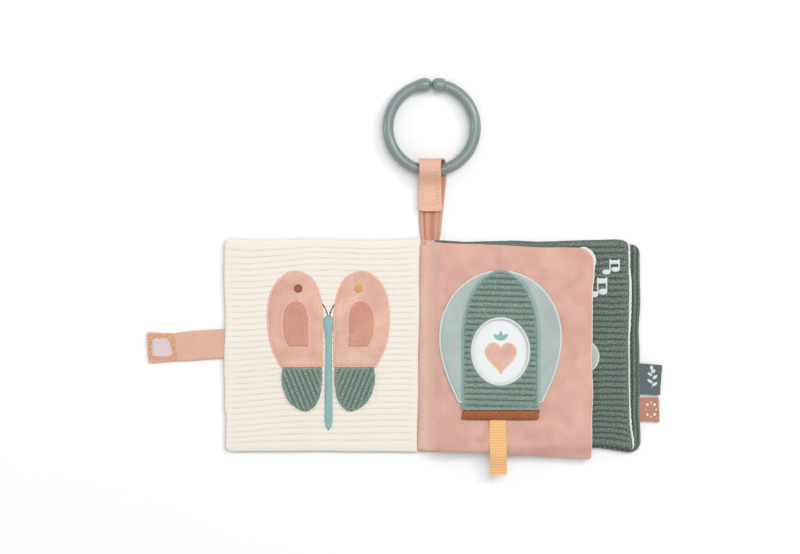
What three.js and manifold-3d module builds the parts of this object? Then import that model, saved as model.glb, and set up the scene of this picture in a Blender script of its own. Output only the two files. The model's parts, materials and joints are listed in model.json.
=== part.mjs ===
// Crinkle cloth book, lying open at its first spread, with a closure strap, a hanging strap and a ring.
// Millimetres. +X runs to the fore edge of the back cover, +Y to the hanging strap and +Z up.
// The origin is the middle of the spine, on the surface that the book lies on.

import * as THREE from "three";
import { mergeVertices } from "three/addons/utils/BufferGeometryUtils.js";
import Module from "manifold-3d";

const wasm = await Module();
wasm.setup();

// Clearances
const fit = 0.3; // between cloths that lie on each other
const cut = 2; // overrun of a cutting or joining solid

// Cloths and fillings
const coverCloth = 1.1;
const leafCloth = 0.9;
const filmThick = 0.2; // the crackling film
const waddingThick = 0.8;
const seamReach = 8; // width of the pinched border along a sewn edge
const sideDraw = 0.8; // how far a sewn side is drawn in between its corners

// Covers
const pageWide = 149.4;
const pageTall = 162;
const pageCorner = 5;
const backTall = 159; // the back cover has shrunk a little along its ribs
const backDrop = 1.7; // and its middle lies this much lower

// Leaves
const pinkLeafWide = 122.7;
const pinkLeafTall = 161;
const pinkLeafCorner = 9;
const pinkLeafDrop = 1.6;
const pinkRootX = 1.8; // where the pink leaf starts
const tapeWide = 4.8;
const tapeThick = 0.45;
const tapeUnder = 1.5; // how far it reaches under the leaf
const greenLeafWide = 138.3;
const greenLeafTall = 158.5;
const greenLeafCorner = 5;
const greenRootX = 12.5;

// Applique on the cream page: a butterfly
const wingThick = 1.2;
const wingWide = 46;
const wingTall = 72;
const wingLineY = -16; // the line that the lower wings are sewn along
const butterflyX = -79;
const wingPanelShare = 0.5; // size of the inlaid panel against its wing
const spotAcross = 6.8;
const spotThick = 0.6;
const bodyWide = 6.4;
const bodyTall = 88;
const lowerWingWide = 36;
const lowerWingTall = 34;
const lowerFront = 0.8;
const lowerBacking = 0.5;
const lowerFilmInset = 2.5;

// Applique on the pink leaf: a balloon with a window, a sliding card and a pull ribbon
const balloonX = 52;
const balloonY = 7;
const balloonHalf = 46;
const balloonRise = 50;
const balloonFall = 54.9;
const goreThick = 1.3;
const panelHalf = 28.5;
const panelRoof = 1;
const rimWide = 2;
const windowWide = 43.6;
const windowTall = 50.6;
const windowDrop = 11;
const cardWide = 47;
const cardTall = 80;
const cardThick = 0.5;
const cardRoom = 0.6; // free height over the card
const cardDrop = 41; // lower end of the card under the balloon's middle
const barWide = 59;
const barTall = 8.1;
const ribbonWide = 13.7;
const ribbonLong = 63.7;
const ribbonShift = -1.8; // the ribbon hangs a little left of the balloon's middle

// Patches on the green leaf
const roundAcross = 24.6;
const roundX = 114.6;
const roundY = -8.2;
const roundThick = 0.6;
const noteThick = 0.5;
const noteHeadWide = 6.9;
const noteStem = 1.3;
const noteStep = 6.9; // from one stem to the next
const noteRise = 2; // the second head's height above the first
const noteHorn = 0.9; // the stems' height above the beam
const upperNoteX = 135.6;
const upperNoteY = 56.3;
const upperNoteTall = 10;
const upperNoteBeam = 3.1;
const upperHeadTall = 4.1;
const lowerNoteX = 126.1;
const lowerNoteY = 39.3;
const lowerNoteTall = 13.2;
const lowerNoteBeam = 4.2;
const lowerHeadTall = 5.1;

// Spine
const spineCloth = 1.1;
const spineEdge = 0.15; // half the slit between the spine and a cover
const liningThick = 0.8;
const liningHalf = 7.4;
const liningInset = 2; // how far the lining stays inside the page's ends
const liningTall = pageTall - 2 * liningInset;
const rollWide = 5;
const rollInset = 3;
const rollTall = pageTall - 2 * rollInset;

// Closure strap
const strapWide = 22.9;
const strapThick = 2;
const strapLong = 58.5;
const strapFloor = 0.3; // height of its underside
const strapTipRound = 4;
const patchThick = 0.7;
const patchLong = 15.6;
const patchWide = 14;
const patchFromTip = 10.8; // middle of the hook patch
const loopLong = 24;
const loopWide = 20;
const loopThick = 0.5;

// Labels on the fore edge of the back cover
const slateLong = 16;
const slateWide = 23.2;
const slateShare = -0.161; // its middle's place along the back cover's edge
const slateY = slateShare * backTall;
const roseLong = 14.3;
const roseWide = 18.6;
const roseShare = -0.305;
const roseY = roseShare * backTall;
const labelThick = 1.1;

// Hanging strap and ring
const bandWide = 18.6;
const bandThick = 1.6;
const bandFloor = 0.3;
const ringAcross = 75.4;
const ringTube = 8.6;
const ringX = -0.2;
const ringY = 166.7;
const bulbAcross = 10.5;
const bulbGap = 0.6;
const loopRoom = 1.9; // free radius between the band and the ring
const loopShift = 1.9; // the loop's middle beyond the tube's
const flapEndY = 102.8;
const flapLay = 121; // where the flap has come down on the band
const bandPatchLong = 15;
const bandPatchWide = 14;
const bandPatchThick = 0.6;
const bandPatchY = 112;

// How finely round things are cut
const arcSteps = 3;
const sideSteps = 4;
const outlineSteps = 30;
const ringSteps = 40;
const tubeSides = 10;
const lowerSteps = 7; // levels under the balloon's widest line
const upperSteps = 8; // and above it
const bendSteps = 7; // in the hanging strap's bends
const insetShares = [0, 0.14, 0.42, 1]; // where a pinched border is bent, as shares of its reach

// Heights that follow from the cloths
const fillThick = filmThick + fit + waddingThick;
const coverThick = 2 * coverCloth + fillThick + 2 * fit;
const leafThick = 2 * leafCloth + fillThick + 2 * fit;
const greenBase = coverThick + fit;
const greenTop = greenBase + leafThick;
const pinkBase = greenTop + fit + roundThick + fit;
const pinkTop = pinkBase + leafThick;
const cardBase = pinkTop + fit;
const roofBase = cardBase + cardThick + cardRoom;
const balloonTop = roofBase + panelRoof;
const artBase = coverThick + fit;
const lowerWingThick = lowerBacking + fit + filmThick + fit + lowerFront;
const foldedWingTop = artBase + wingThick + fit + lowerWingThick; // a lower wing folded up over its upper wing
const pinkAxis = (artBase + lowerWingThick + fit + balloonTop) / 2; // height of the line that the pink leaf turns on
const turnedBalloon = 2 * pinkAxis - balloonTop; // how low the balloon hangs when the pink leaf is turned over
const closedThick = foldedWingTop + balloonTop + fit;
const spineHalf = (closedThick - coverThick) / 2;

// Small tools

function material(color, roughness) {
  return new THREE.MeshStandardMaterial({ color, roughness, metalness: 0 });
}

function place(group, name, geometry, look, x = 0, y = 0, z = 0) {
  const mesh = new THREE.Mesh(geometry, look);
  mesh.name = name;
  mesh.position.set(x, y, z);
  group.add(mesh);
  return mesh;
}

function groupAt(parent, x, y, z) {
  const group = new THREE.Group();
  group.position.set(x, y, z);
  parent.add(group);
  return group;
}

function solidOf(geometry) {
  const bare = geometry.clone();
  bare.deleteAttribute("normal");
  bare.deleteAttribute("uv");
  const merged = mergeVertices(bare);
  const vertProperties = Float32Array.from(merged.attributes.position.array);
  const triVerts = Uint32Array.from(merged.index.array);
  return new wasm.Manifold(new wasm.Mesh({ numProp: 3, vertProperties, triVerts }));
}

function geometryOf(solid) {
  const made = solid.getMesh();
  const geometry = new THREE.BufferGeometry();
  geometry.setAttribute("position", new THREE.BufferAttribute(Float32Array.from(made.vertProperties), 3));
  geometry.setIndex(Array.from(made.triVerts));
  geometry.computeVertexNormals();
  return geometry;
}

function joined(...geometries) {
  return geometryOf(geometries.map(solidOf).reduce((whole, next) => whole.add(next)));
}

function plate(outline, thick, holes = []) {
  const shape = new THREE.Shape(outline);
  shape.holes = holes.map((hole) => new THREE.Path(hole));
  return new THREE.ExtrudeGeometry(shape, { depth: thick, bevelEnabled: false });
}

// Outlines, counter-clockwise

function roundedOutline(wide, tall, corner, draw) {
  const points = [];
  const halfWide = wide / 2;
  const halfTall = tall / 2;
  const turns = [[1, -1], [1, 1], [-1, 1], [-1, -1]];
  turns.forEach(([sx, sy], i) => {
    const start = (i - 1) * Math.PI / 2;
    for (let k = 0; k <= arcSteps; k += 1) {
      const angle = start + k * Math.PI / (2 * arcSteps);
      points.push(new THREE.Vector2(
        sx * (halfWide - corner) + corner * Math.cos(angle),
        sy * (halfTall - corner) + corner * Math.sin(angle),
      ));
    }
    const upright = i % 2 === 0;
    const half = (upright ? halfTall : halfWide) - corner;
    for (let k = 1; k < sideSteps; k += 1) {
      const along = -1 + 2 * k / sideSteps;
      const inward = draw * (1 - along * along);
      if (upright) points.push(new THREE.Vector2(sx * (halfWide - inward), sx * along * half));
      else points.push(new THREE.Vector2(-sy * along * half, sy * (halfTall - inward)));
    }
  });
  return points;
}

function ellipseOutline(wide, tall, steps) {
  return Array.from({ length: steps }, (_, i) => {
    const angle = 2 * Math.PI * i / steps;
    return new THREE.Vector2(wide / 2 * Math.cos(angle), tall / 2 * Math.sin(angle));
  });
}

function smoothOutline(shares, wide, tall) {
  const knots = shares.map(([u, v]) => new THREE.Vector3(u * wide, v * tall, 0));
  const curve = new THREE.CatmullRomCurve3(knots, false, "centripetal");
  const points = curve.getPoints(outlineSteps).map((p) => new THREE.Vector2(p.x, p.y));
  return THREE.ShapeUtils.area(points) < 0 ? points.reverse() : points;
}

function mirrored(points) {
  return points.map((p) => new THREE.Vector2(-p.x, p.y)).reverse();
}

function moved(points, x, y) {
  return points.map((p) => new THREE.Vector2(p.x + x, p.y + y));
}

function shrunkAbout(points, share, x, y) {
  return points.map((p) => new THREE.Vector2(x + (p.x - x) * share, y + (p.y - y) * share));
}

// Moves an outline outwards by a distance, or inwards where it is negative.
function offsetOutline(points, distance) {
  return points.map((p, i) => {
    const before = points[(i + points.length - 1) % points.length];
    const after = points[(i + 1) % points.length];
    const along = new THREE.Vector2().subVectors(after, before).normalize();
    return new THREE.Vector2(p.x + along.y * distance, p.y - along.x * distance);
  });
}

// A cloth cut to an outline, whose sewn border is bent by a height that depends on the distance from the edge.
function borderedCloth(outline, wide, tall, thick, bend) {
  const count = outline.length;
  const positions = [];
  const insets = insetShares.map((share) => share * seamReach);
  for (const inset of insets) {
    for (const p of outline) {
      const x = p.x * (1 - 2 * inset / wide);
      const y = p.y * (1 - 2 * inset / tall);
      const z = bend * (1 - inset / seamReach) ** 2;
      positions.push(x, y, z, x, y, z + thick);
    }
  }
  const lowMiddle = positions.length / 3;
  positions.push(0, 0, 0, 0, 0, thick);
  const at = (ring, i, top) => 2 * (ring * count + i % count) + top;
  const index = [];
  for (let i = 0; i < count; i += 1) {
    for (let ring = 0; ring + 1 < insets.length; ring += 1) {
      index.push(at(ring, i, 1), at(ring, i + 1, 1), at(ring + 1, i + 1, 1));
      index.push(at(ring, i, 1), at(ring + 1, i + 1, 1), at(ring + 1, i, 1));
      index.push(at(ring, i, 0), at(ring + 1, i + 1, 0), at(ring, i + 1, 0));
      index.push(at(ring, i, 0), at(ring + 1, i, 0), at(ring + 1, i + 1, 0));
    }
    const last = insets.length - 1;
    index.push(at(last, i, 1), at(last, i + 1, 1), lowMiddle + 1);
    index.push(at(last, i + 1, 0), at(last, i, 0), lowMiddle);
    index.push(at(0, i, 0), at(0, i + 1, 0), at(0, i + 1, 1));
    index.push(at(0, i, 0), at(0, i + 1, 1), at(0, i, 1));
  }
  const geometry = new THREE.BufferGeometry();
  geometry.setAttribute("position", new THREE.Float32BufferAttribute(positions, 3));
  geometry.setIndex(index);
  geometry.computeVertexNormals();
  return geometry;
}

// Two cloths sewn together round a crackling film and a thin wadding; its underside is at the group's height.
function stuffedLeaf(group, names, size, cloth, looks) {
  const outline = roundedOutline(size.wide, size.tall, size.corner, sideDraw);
  const thick = 2 * cloth + fillThick + 2 * fit;
  const pinch = (thick - 2 * cloth - fit) / 2;
  const under = borderedCloth(outline, size.wide, size.tall, cloth, pinch);
  const over = borderedCloth(outline, size.wide, size.tall, cloth, -pinch);
  const fillWide = size.wide - 2 * (seamReach + fit);
  const fillTall = size.tall - 2 * (seamReach + fit);
  const fill = roundedOutline(fillWide, fillTall, size.corner, 0);
  const filmBase = cloth + fit;
  place(group, names.under, under, looks.under);
  place(group, names.film, plate(fill, filmThick), looks.film, 0, 0, filmBase);
  place(group, names.wadding, plate(fill, waddingThick), looks.wadding, 0, 0, filmBase + filmThick + fit);
  place(group, names.over, over, looks.over, 0, 0, thick - cloth);
}

// Turns a profile drawn in Y and Z into a band of a given width along X, centred on x = 0.
function bandAcross(profile, wide) {
  const geometry = plate(profile, wide);
  const turn = new THREE.Matrix4().makeBasis(
    new THREE.Vector3(0, 1, 0),
    new THREE.Vector3(0, 0, 1),
    new THREE.Vector3(1, 0, 0),
  );
  geometry.applyMatrix4(turn);
  geometry.translate(-wide / 2, 0, 0);
  return geometry;
}

// The outline of a strip of even thickness that follows a line of points.
function stripProfile(line, thick) {
  const sides = line.map((p, i) => {
    const before = line[Math.max(i - 1, 0)];
    const after = line[Math.min(i + 1, line.length - 1)];
    const along = new THREE.Vector2().subVectors(after, before).normalize();
    const off = new THREE.Vector2(along.y, -along.x).multiplyScalar(thick / 2);
    return [p.clone().add(off), p.clone().sub(off)];
  });
  const points = [...sides.map((s) => s[0]), ...sides.map((s) => s[1]).reverse()];
  return THREE.ShapeUtils.area(points) < 0 ? points.reverse() : points;
}

// Finishes
const looks = {
  cream: material(0xf5f1e6, 0.95),
  pink: material(0xdab0a0, 0.9),
  rosePanel: material(0xd6a38f, 0.9),
  green: material(0x697a70, 0.95),
  paleGreen: material(0x7d9387, 0.95),
  greyBlue: material(0xb8c2bf, 0.9),
  white: material(0xeef0f1, 0.9),
  aqua: material(0x9ec5c2, 0.7),
  rust: material(0xb06238, 0.7),
  brown: material(0xa05c3c, 0.7),
  ochre: material(0xe1a569, 0.7),
  apricot: material(0xf5c486, 0.7),
  peach: material(0xe8baa4, 0.8),
  lilac: material(0xe4d5d8, 0.95),
  slate: material(0x626b70, 0.8),
  rose: material(0xc48c7a, 0.8),
  sage: material(0x8c9e9a, 0.25),
  film: material(0xd8dcdc, 0.3),
  wadding: material(0xf0efe8, 1),
};

const book = new THREE.Group();

// Spine, with the soft roll that hides the gutter seam

function makeSpine(parent) {
  const spine = groupAt(parent, 0, 0, 0);
  const clothWide = 2 * (spineHalf - spineEdge);
  const cloth = roundedOutline(clothWide, pageTall, spineCloth, 0);
  const lining = roundedOutline(2 * liningHalf, liningTall, spineCloth, 0);
  const liningBase = spineCloth + fit;
  const rollBase = liningBase + liningThick + fit;
  const rollHigh = turnedBalloon - fit - rollBase;
  const roll = plate(ellipseOutline(rollWide, rollHigh, 2 * tubeSides), rollTall);
  roll.rotateX(Math.PI / 2);
  roll.translate(rollWide / 2 - liningHalf, rollTall / 2, rollBase + rollHigh / 2);
  place(spine, "spine_outer_cloth", plate(cloth, spineCloth), looks.green);
  place(spine, "spine_lining", plate(lining, liningThick), looks.pink, 0, 0, liningBase);
  place(spine, "gutter_roll", roll, looks.peach);
}

// Front cover: green outside, cream corduroy inside

function makeFrontCover(parent) {
  const cover = groupAt(parent, -(spineHalf + pageWide / 2), 0, 0);
  const names = {
    under: "front_cover_outer_cloth",
    film: "front_cover_film",
    wadding: "front_cover_wadding",
    over: "cream_page_cloth",
  };
  const finishes = { under: looks.green, film: looks.film, wadding: looks.wadding, over: looks.cream };
  const size = { wide: pageWide - 2 * spineEdge, tall: pageTall, corner: pageCorner };
  stuffedLeaf(cover, names, size, coverCloth, finishes);
}

// Butterfly: two upper wings with inlaid panels, a body, two spots and two loose lower wings

const wingShares = [
  [0.1, 0], [0.1, 0.3], [0.12, 0.68], [0.3, 0.94], [0.62, 1],
  [0.92, 0.82], [1, 0.5], [0.93, 0.2], [0.78, 0],
];
const lowerWingShares = [
  [0.14, 0], [0.13, -0.3], [0.22, -0.78], [0.45, -1], [0.8, -0.82], [0.98, -0.4], [0.97, 0],
];
const bodyHalfShares = [
  [0, -0.56], [0.42, -0.5], [0.5, -0.3], [0.44, 0.02], [0.5, 0.3], [0.68, 0.38], [0.42, 0.44], [0, 0.45],
];
const panelMidShares = [0.54, 0.4];
const spotShares = [0.5, 0.83];

function makeButterfly(parent) {
  const art = groupAt(parent, butterflyX, wingLineY, artBase);
  const wing = moved(smoothOutline(wingShares, wingWide, wingTall), 0, fit);
  const panelX = panelMidShares[0] * wingWide;
  const panelY = panelMidShares[1] * wingTall;
  const panel = shrunkAbout(wing, wingPanelShare, panelX, panelY);
  const hole = offsetOutline(panel, fit);
  const spot = ellipseOutline(spotAcross, spotAcross, 2 * tubeSides);
  const sides = [
    ["right", (points) => points, 1, looks.ochre],
    ["left", mirrored, -1, looks.brown],
  ];
  for (const [side, turned, sign, spotLook] of sides) {
    place(art, `${side}_upper_wing`, plate(turned(wing), wingThick, [turned(hole)]), looks.pink);
    place(art, `${side}_wing_panel`, plate(turned(panel), wingThick), looks.rosePanel);
    place(art, `${side}_wing_spot`, plate(spot, spotThick), spotLook,
      sign * spotShares[0] * wingWide, spotShares[1] * wingTall, wingThick + fit);
    const flap = turned(smoothOutline(lowerWingShares, lowerWingWide, lowerWingTall));
    const filmShare = 1 - 2 * lowerFilmInset / lowerWingTall;
    const film = shrunkAbout(flap, filmShare, sign * lowerWingWide / 2, -lowerWingTall / 2);
    const filmBase = lowerBacking + fit;
    place(art, `${side}_lower_wing_backing`, plate(flap, lowerBacking), looks.cream);
    place(art, `${side}_lower_wing_film`, plate(film, filmThick), looks.film, 0, 0, filmBase);
    place(art, `${side}_lower_wing_front`, plate(flap, lowerFront), looks.paleGreen,
      0, 0, filmBase + filmThick + fit);
  }
  const half = smoothOutline(bodyHalfShares, bodyWide, bodyTall);
  const body = joined(plate(half, wingThick), plate(mirrored(moved(half, -fit, 0)), wingThick));
  place(art, "butterfly_body", body, looks.aqua);
}

// Closure strap on the front cover's fore edge: two stiff lengths with a fold between them

const strapTop = strapFloor + strapThick;
const strapRootX = -(spineHalf + pageWide - spineEdge - sideDraw + fit);
const strapFoldX = strapRootX - (closedThick + fit + fit + patchThick - strapTop);
const strapTipX = strapRootX - strapLong;

function makeClosureStrap(parent) {
  const strap = groupAt(parent, 0, 0, strapFloor);
  const halfWide = strapWide / 2;
  const rootLong = strapRootX - strapFoldX - 2 * spineEdge;
  const tipLong = strapFoldX - strapTipX - spineEdge;
  const root = [
    new THREE.Vector2(0, -halfWide),
    new THREE.Vector2(0, halfWide),
    new THREE.Vector2(-rootLong, halfWide),
    new THREE.Vector2(-rootLong, -halfWide),
  ];
  const tip = roundedOutline(tipLong, strapWide, strapTipRound, 0);
  place(strap, "closure_strap_root", plate(root, strapThick), looks.peach, strapRootX - spineEdge);
  place(strap, "closure_strap_tip", plate(tip, strapThick), looks.peach, strapTipX + tipLong / 2);
  const hook = roundedOutline(patchLong, patchWide, patchThick, 0);
  place(strap, "closure_hook_patch", plate(hook, patchThick), looks.lilac,
    strapTipX + patchFromTip, 0, strapThick + fit);
}

// Back cover: green corduroy on both sides, with the loop patch let into its outside

function makeBackCover(parent) {
  const cover = groupAt(parent, spineHalf + pageWide / 2, -backDrop, 0);
  const names = {
    under: "back_cover_outer_cloth",
    film: "back_cover_film",
    wadding: "back_cover_wadding",
    over: "back_page_cloth",
  };
  const finishes = { under: looks.green, film: looks.film, wadding: looks.wadding, over: looks.green };
  const size = { wide: pageWide - 2 * spineEdge, tall: backTall, corner: pageCorner };
  stuffedLeaf(cover, names, size, coverCloth, finishes);
  const patchX = -(strapRootX + (strapFoldX - strapTipX - patchFromTip)) - cover.position.x;
  const loop = moved(roundedOutline(loopLong, loopWide, loopThick, 0), patchX, backDrop);
  const recess = new THREE.BoxGeometry(loopLong + 2 * fit, loopWide + 2 * fit, cut + loopThick + fit);
  recess.translate(patchX, backDrop, (loopThick + fit - cut) / 2);
  const outer = cover.getObjectByName(names.under);
  outer.geometry = geometryOf(solidOf(outer.geometry).subtract(solidOf(recess)));
  place(cover, "closure_loop_patch", plate(loop, loopThick), looks.lilac);
}

function makeLabels(parent) {
  const base = (coverThick - labelThick) / 2;
  const labels = [
    ["slate_label", slateLong, slateWide, slateY, looks.slate],
    ["rose_label", roseLong, roseWide, roseY, looks.rose],
  ];
  for (const [name, long, wide, y, look] of labels) {
    const drawn = sideDraw * (1 - (2 * (y + backDrop) / backTall) ** 2);
    const edge = spineHalf + pageWide - spineEdge - drawn + 2 * fit;
    const outline = roundedOutline(long, wide, labelThick, 0);
    place(parent, name, plate(outline, labelThick), look, edge + long / 2, y, base);
  }
}

// Green leaf, with a round patch and two pairs of notes

function notePair(tall, beamTall, headTall) {
  const head = ellipseOutline(noteHeadWide, headTall, 2 * tubeSides);
  const headIn = noteHeadWide / 2 - noteStem / 2;
  const block = (fromX, toX, fromY, toY) => [
    new THREE.Vector2(fromX, fromY),
    new THREE.Vector2(toX, fromY),
    new THREE.Vector2(toX, toY),
    new THREE.Vector2(fromX, toY),
  ];
  const half = noteStem / 2;
  const beamTop = tall - noteHorn;
  return joined(
    plate(block(0, noteStep, beamTop - beamTall, beamTop), noteThick),
    plate(moved(head, -headIn, 0), noteThick),
    plate(block(-half, half, 0, tall), noteThick),
    plate(moved(head, noteStep - headIn, noteRise), noteThick),
    plate(block(noteStep - half, noteStep + half, noteRise, tall), noteThick),
  );
}

function makeGreenLeaf(parent) {
  const leaf = groupAt(parent, greenRootX + greenLeafWide / 2, 0, greenBase);
  const names = {
    under: "green_leaf_back_cloth",
    film: "green_leaf_film",
    wadding: "green_leaf_wadding",
    over: "notes_page_cloth",
  };
  const finishes = { under: looks.white, film: looks.film, wadding: looks.wadding, over: looks.green };
  const size = { wide: greenLeafWide, tall: greenLeafTall, corner: greenLeafCorner };
  stuffedLeaf(leaf, names, size, leafCloth, finishes);
  const patch = ellipseOutline(roundAcross, roundAcross, outlineSteps);
  const patchBase = greenTop + fit;
  place(parent, "round_patch", plate(patch, roundThick), looks.greyBlue, roundX, roundY, patchBase);
  const upper = notePair(upperNoteTall, upperNoteBeam, upperHeadTall);
  const lower = notePair(lowerNoteTall, lowerNoteBeam, lowerHeadTall);
  place(parent, "note_pair_upper", upper, looks.white, upperNoteX, upperNoteY, patchBase);
  place(parent, "note_pair_lower", lower, looks.white, lowerNoteX, lowerNoteY, patchBase);
}

// Pink leaf, on a binding tape that slides with it when the book is shut

function makePinkLeaf(parent) {
  const leaf = groupAt(parent, pinkRootX + pinkLeafWide / 2, -pinkLeafDrop, pinkBase);
  const names = {
    under: "pink_leaf_back_cloth",
    film: "pink_leaf_film",
    wadding: "pink_leaf_wadding",
    over: "pink_page_cloth",
  };
  const finishes = { under: looks.white, film: looks.film, wadding: looks.wadding, over: looks.pink };
  const size = { wide: pinkLeafWide, tall: pinkLeafTall, corner: pinkLeafCorner };
  stuffedLeaf(leaf, names, size, leafCloth, finishes);
  const tape = roundedOutline(tapeWide, liningTall, tapeThick, 0);
  place(parent, "leaf_binding_tape", plate(tape, tapeThick), looks.pink,
    pinkRootX + tapeUnder - tapeWide / 2, -pinkLeafDrop, greenTop + fit);
}

// Balloon: half widths of the envelope and of its middle panel at a height from its widest line

function envelopeHalf(y) {
  if (y >= 0) return balloonHalf * Math.sqrt(Math.max(0, 1 - (y / balloonRise) ** 2));
  const mouth = panelHalf + fit;
  return mouth + (balloonHalf - mouth) * Math.cos(Math.PI / 2 * -y / balloonFall);
}

function middleHalf(y) {
  return y < 0 ? panelHalf : panelHalf / balloonHalf * envelopeHalf(y);
}

function heights(low, high, steps) {
  return Array.from({ length: steps + 1 }, (_, i) => low + (high - low) * i / steps);
}

// Levels from the balloon's mouth to its top, closer together where it rounds over.
function balloonLevels(lowShare, topShare) {
  const lower = heights(-balloonFall * lowShare, 0, lowerSteps).slice(0, -1);
  const upper = heights(0, Math.asin(topShare), upperSteps).map((angle) => balloonRise * Math.sin(angle));
  return [...lower, ...upper];
}

function outlineBetween(levels, right, left) {
  const up = levels.map((y) => new THREE.Vector2(right(y), y));
  const down = levels.map((y) => new THREE.Vector2(left(y), y)).reverse();
  return [...up, ...down];
}

const panelTopShare = 0.999;
const goreTopShare = 0.985;
const goreLowShare = 0.9;

function makeBalloon(parent) {
  const art = groupAt(parent, balloonX, balloonY, 0);
  const panel = outlineBetween(balloonLevels(1, panelTopShare), middleHalf, (y) => -middleHalf(y));
  const half = outlineBetween(balloonLevels(goreLowShare, goreTopShare), envelopeHalf, () => 0);
  const gore = plate(half, goreThick);
  const clearing = plate(offsetOutline(panel, fit), goreThick + 2 * cut);
  clearing.translate(0, 0, -cut);
  const rightGore = geometryOf(solidOf(gore).subtract(solidOf(clearing)));
  const leftGore = rightGore.clone().rotateY(Math.PI).translate(0, 0, goreThick);
  place(art, "right_gore", rightGore, looks.greyBlue, 0, 0, cardBase);
  place(art, "left_gore", leftGore, looks.greyBlue, 0, 0, cardBase);

  const window = moved(ellipseOutline(windowWide, windowTall, outlineSteps), 0, -windowDrop);
  const roof = plate(panel, panelRoof, [window]);
  roof.translate(0, 0, roofBase);
  const pocketTop = balloonRise - rimWide;
  const pocketHalf = (y) => (middleHalf(y / (1 - rimWide / balloonRise)) - rimWide);
  const pocketLevels = heights(-balloonFall - cut, pocketTop - rimWide, 2 * lowerSteps);
  const pocket = outlineBetween(pocketLevels, pocketHalf, (y) => -pocketHalf(y));
  const rim = plate(panel, roofBase - cardBase + panelRoof / 2);
  const hollow = plate(pocket, roofBase - cardBase + panelRoof + cut);
  rim.translate(0, 0, cardBase);
  hollow.translate(0, 0, cardBase - cut / 2);
  const frame = solidOf(rim).subtract(solidOf(hollow));
  place(art, "window_panel", geometryOf(frame.add(solidOf(roof))), looks.green);

  const barY = -balloonFall - fit - barTall / 2;
  const bar = roundedOutline(barWide, barTall, rimWide, 0);
  const tunnelWide = barWide - 2 * rimWide;
  const tunnel = new THREE.BoxGeometry(tunnelWide, barTall + 2 * cut, roofBase - cardBase + cut);
  tunnel.translate(0, 0, (roofBase + cardBase - cut) / 2);
  const whole = plate(bar, balloonTop - cardBase);
  whole.translate(0, 0, cardBase);
  place(art, "basket_bar", geometryOf(solidOf(whole).subtract(solidOf(tunnel))), looks.rust, 0, barY);
}

function makeSlider(parent) {
  const slider = groupAt(parent, balloonX, balloonY, cardBase);
  const radius = cardWide / 2;
  const straight = cardTall - radius - cardDrop;
  const card = heights(0, Math.PI, outlineSteps / 2).map((angle) => (
    new THREE.Vector2(radius * Math.cos(angle), straight + radius * Math.sin(angle))
  ));
  card.push(new THREE.Vector2(-radius, -cardDrop), new THREE.Vector2(radius, -cardDrop));
  place(slider, "window_card", plate(card, cardThick), looks.white);
  const ribbon = roundedOutline(ribbonWide, ribbonLong, cardThick, 0);
  place(slider, "pull_ribbon", plate(ribbon, cardThick), looks.apricot,
    ribbonShift, -cardDrop - fit - ribbonLong / 2);
}

// Hanging strap: a band that runs under the ring, round it, and back over itself as a flap

const tubeY = ringY - (ringAcross - ringTube) / 2;
const bandTop = bandFloor + bandThick;
const tubeZ = bandTop + fit + ringTube / 2;
const loopRadius = ringTube / 2 + loopRoom; // free radius inside the loop
const loopY = tubeY + loopShift;
const loopZ = bandTop + loopRadius;
const bandRootY = pageTall / 2 + 2 * fit;

function arcPoints(from, to, steps) {
  const radius = loopRadius + bandThick / 2;
  return heights(from, to, steps).map((angle) => (
    new THREE.Vector2(loopY + radius * Math.cos(angle), loopZ + radius * Math.sin(angle))
  ));
}

function makeHangingStrap(parent) {
  const strap = groupAt(parent, ringX, 0, 0);
  const slit = spineEdge / loopRadius;
  const middle = bandFloor + bandThick / 2;
  const line = [new THREE.Vector2(bandRootY, middle), ...arcPoints(-Math.PI / 2, -slit, bendSteps)];
  place(strap, "hanging_strap_band", bandAcross(stripProfile(line, bandThick), bandWide), looks.peach);

  const patchBase = bandTop + fit;
  const hookBase = patchBase + bandPatchThick + fit;
  const flapMiddle = hookBase + bandPatchThick + fit + bandThick / 2;
  const top = loopZ + loopRadius + bandThick / 2;
  const drop = top - flapMiddle;
  const reach = loopY - flapLay;
  const fall = heights(0, 1, bendSteps).slice(1).map((share) => (
    new THREE.Vector2(loopY - reach * share, top - drop * (1 - Math.cos(Math.PI * share)) / 2)
  ));
  const over = [...arcPoints(slit, Math.PI / 2, bendSteps), ...fall, new THREE.Vector2(flapEndY, flapMiddle)];
  place(strap, "hanging_strap_flap", bandAcross(stripProfile(over, bandThick), bandWide), looks.peach);
  const patch = roundedOutline(bandPatchWide, bandPatchLong, bandPatchThick, 0);
  place(strap, "strap_loop_patch", plate(patch, bandPatchThick), looks.lilac, 0, bandPatchY, patchBase);
  place(strap, "strap_hook_patch", plate(patch, bandPatchThick), looks.lilac, 0, bandPatchY, hookBase);
}

// Ring: an open hoop that ends in two round bulbs; it lies in the strap and on the ground at its far end

function makeRing(parent) {
  const hoop = (ringAcross - ringTube) / 2;
  const lean = Math.asin((tubeZ - bulbAcross / 2) / (2 * hoop));
  const ring = groupAt(parent, ringX, tubeY, tubeZ);
  ring.rotation.x = -lean;
  const half = (bulbAcross + bulbGap) / 2 / hoop;
  class HoopCurve extends THREE.Curve {
    getPoint(t, target = new THREE.Vector3()) {
      const angle = Math.PI / 2 + half + t * 2 * (Math.PI - half);
      return target.set(hoop * Math.cos(angle), hoop + hoop * Math.sin(angle), 0);
    }
  }
  const section = new THREE.Shape(ellipseOutline(ringTube, ringTube, tubeSides + 2));
  const tube = new THREE.ExtrudeGeometry(section, { steps: ringSteps, extrudePath: new HoopCurve() });
  const bulbs = [-1, 1].map((side) => {
    const bulb = new THREE.SphereGeometry(bulbAcross / 2, tubeSides + 2, tubeSides - 2);
    const angle = Math.PI / 2 + side * half;
    bulb.translate(hoop * Math.cos(angle), hoop + hoop * Math.sin(angle), 0);
    return bulb;
  });
  place(ring, "ring", joined(tube, ...bulbs), looks.sage);
}

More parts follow.
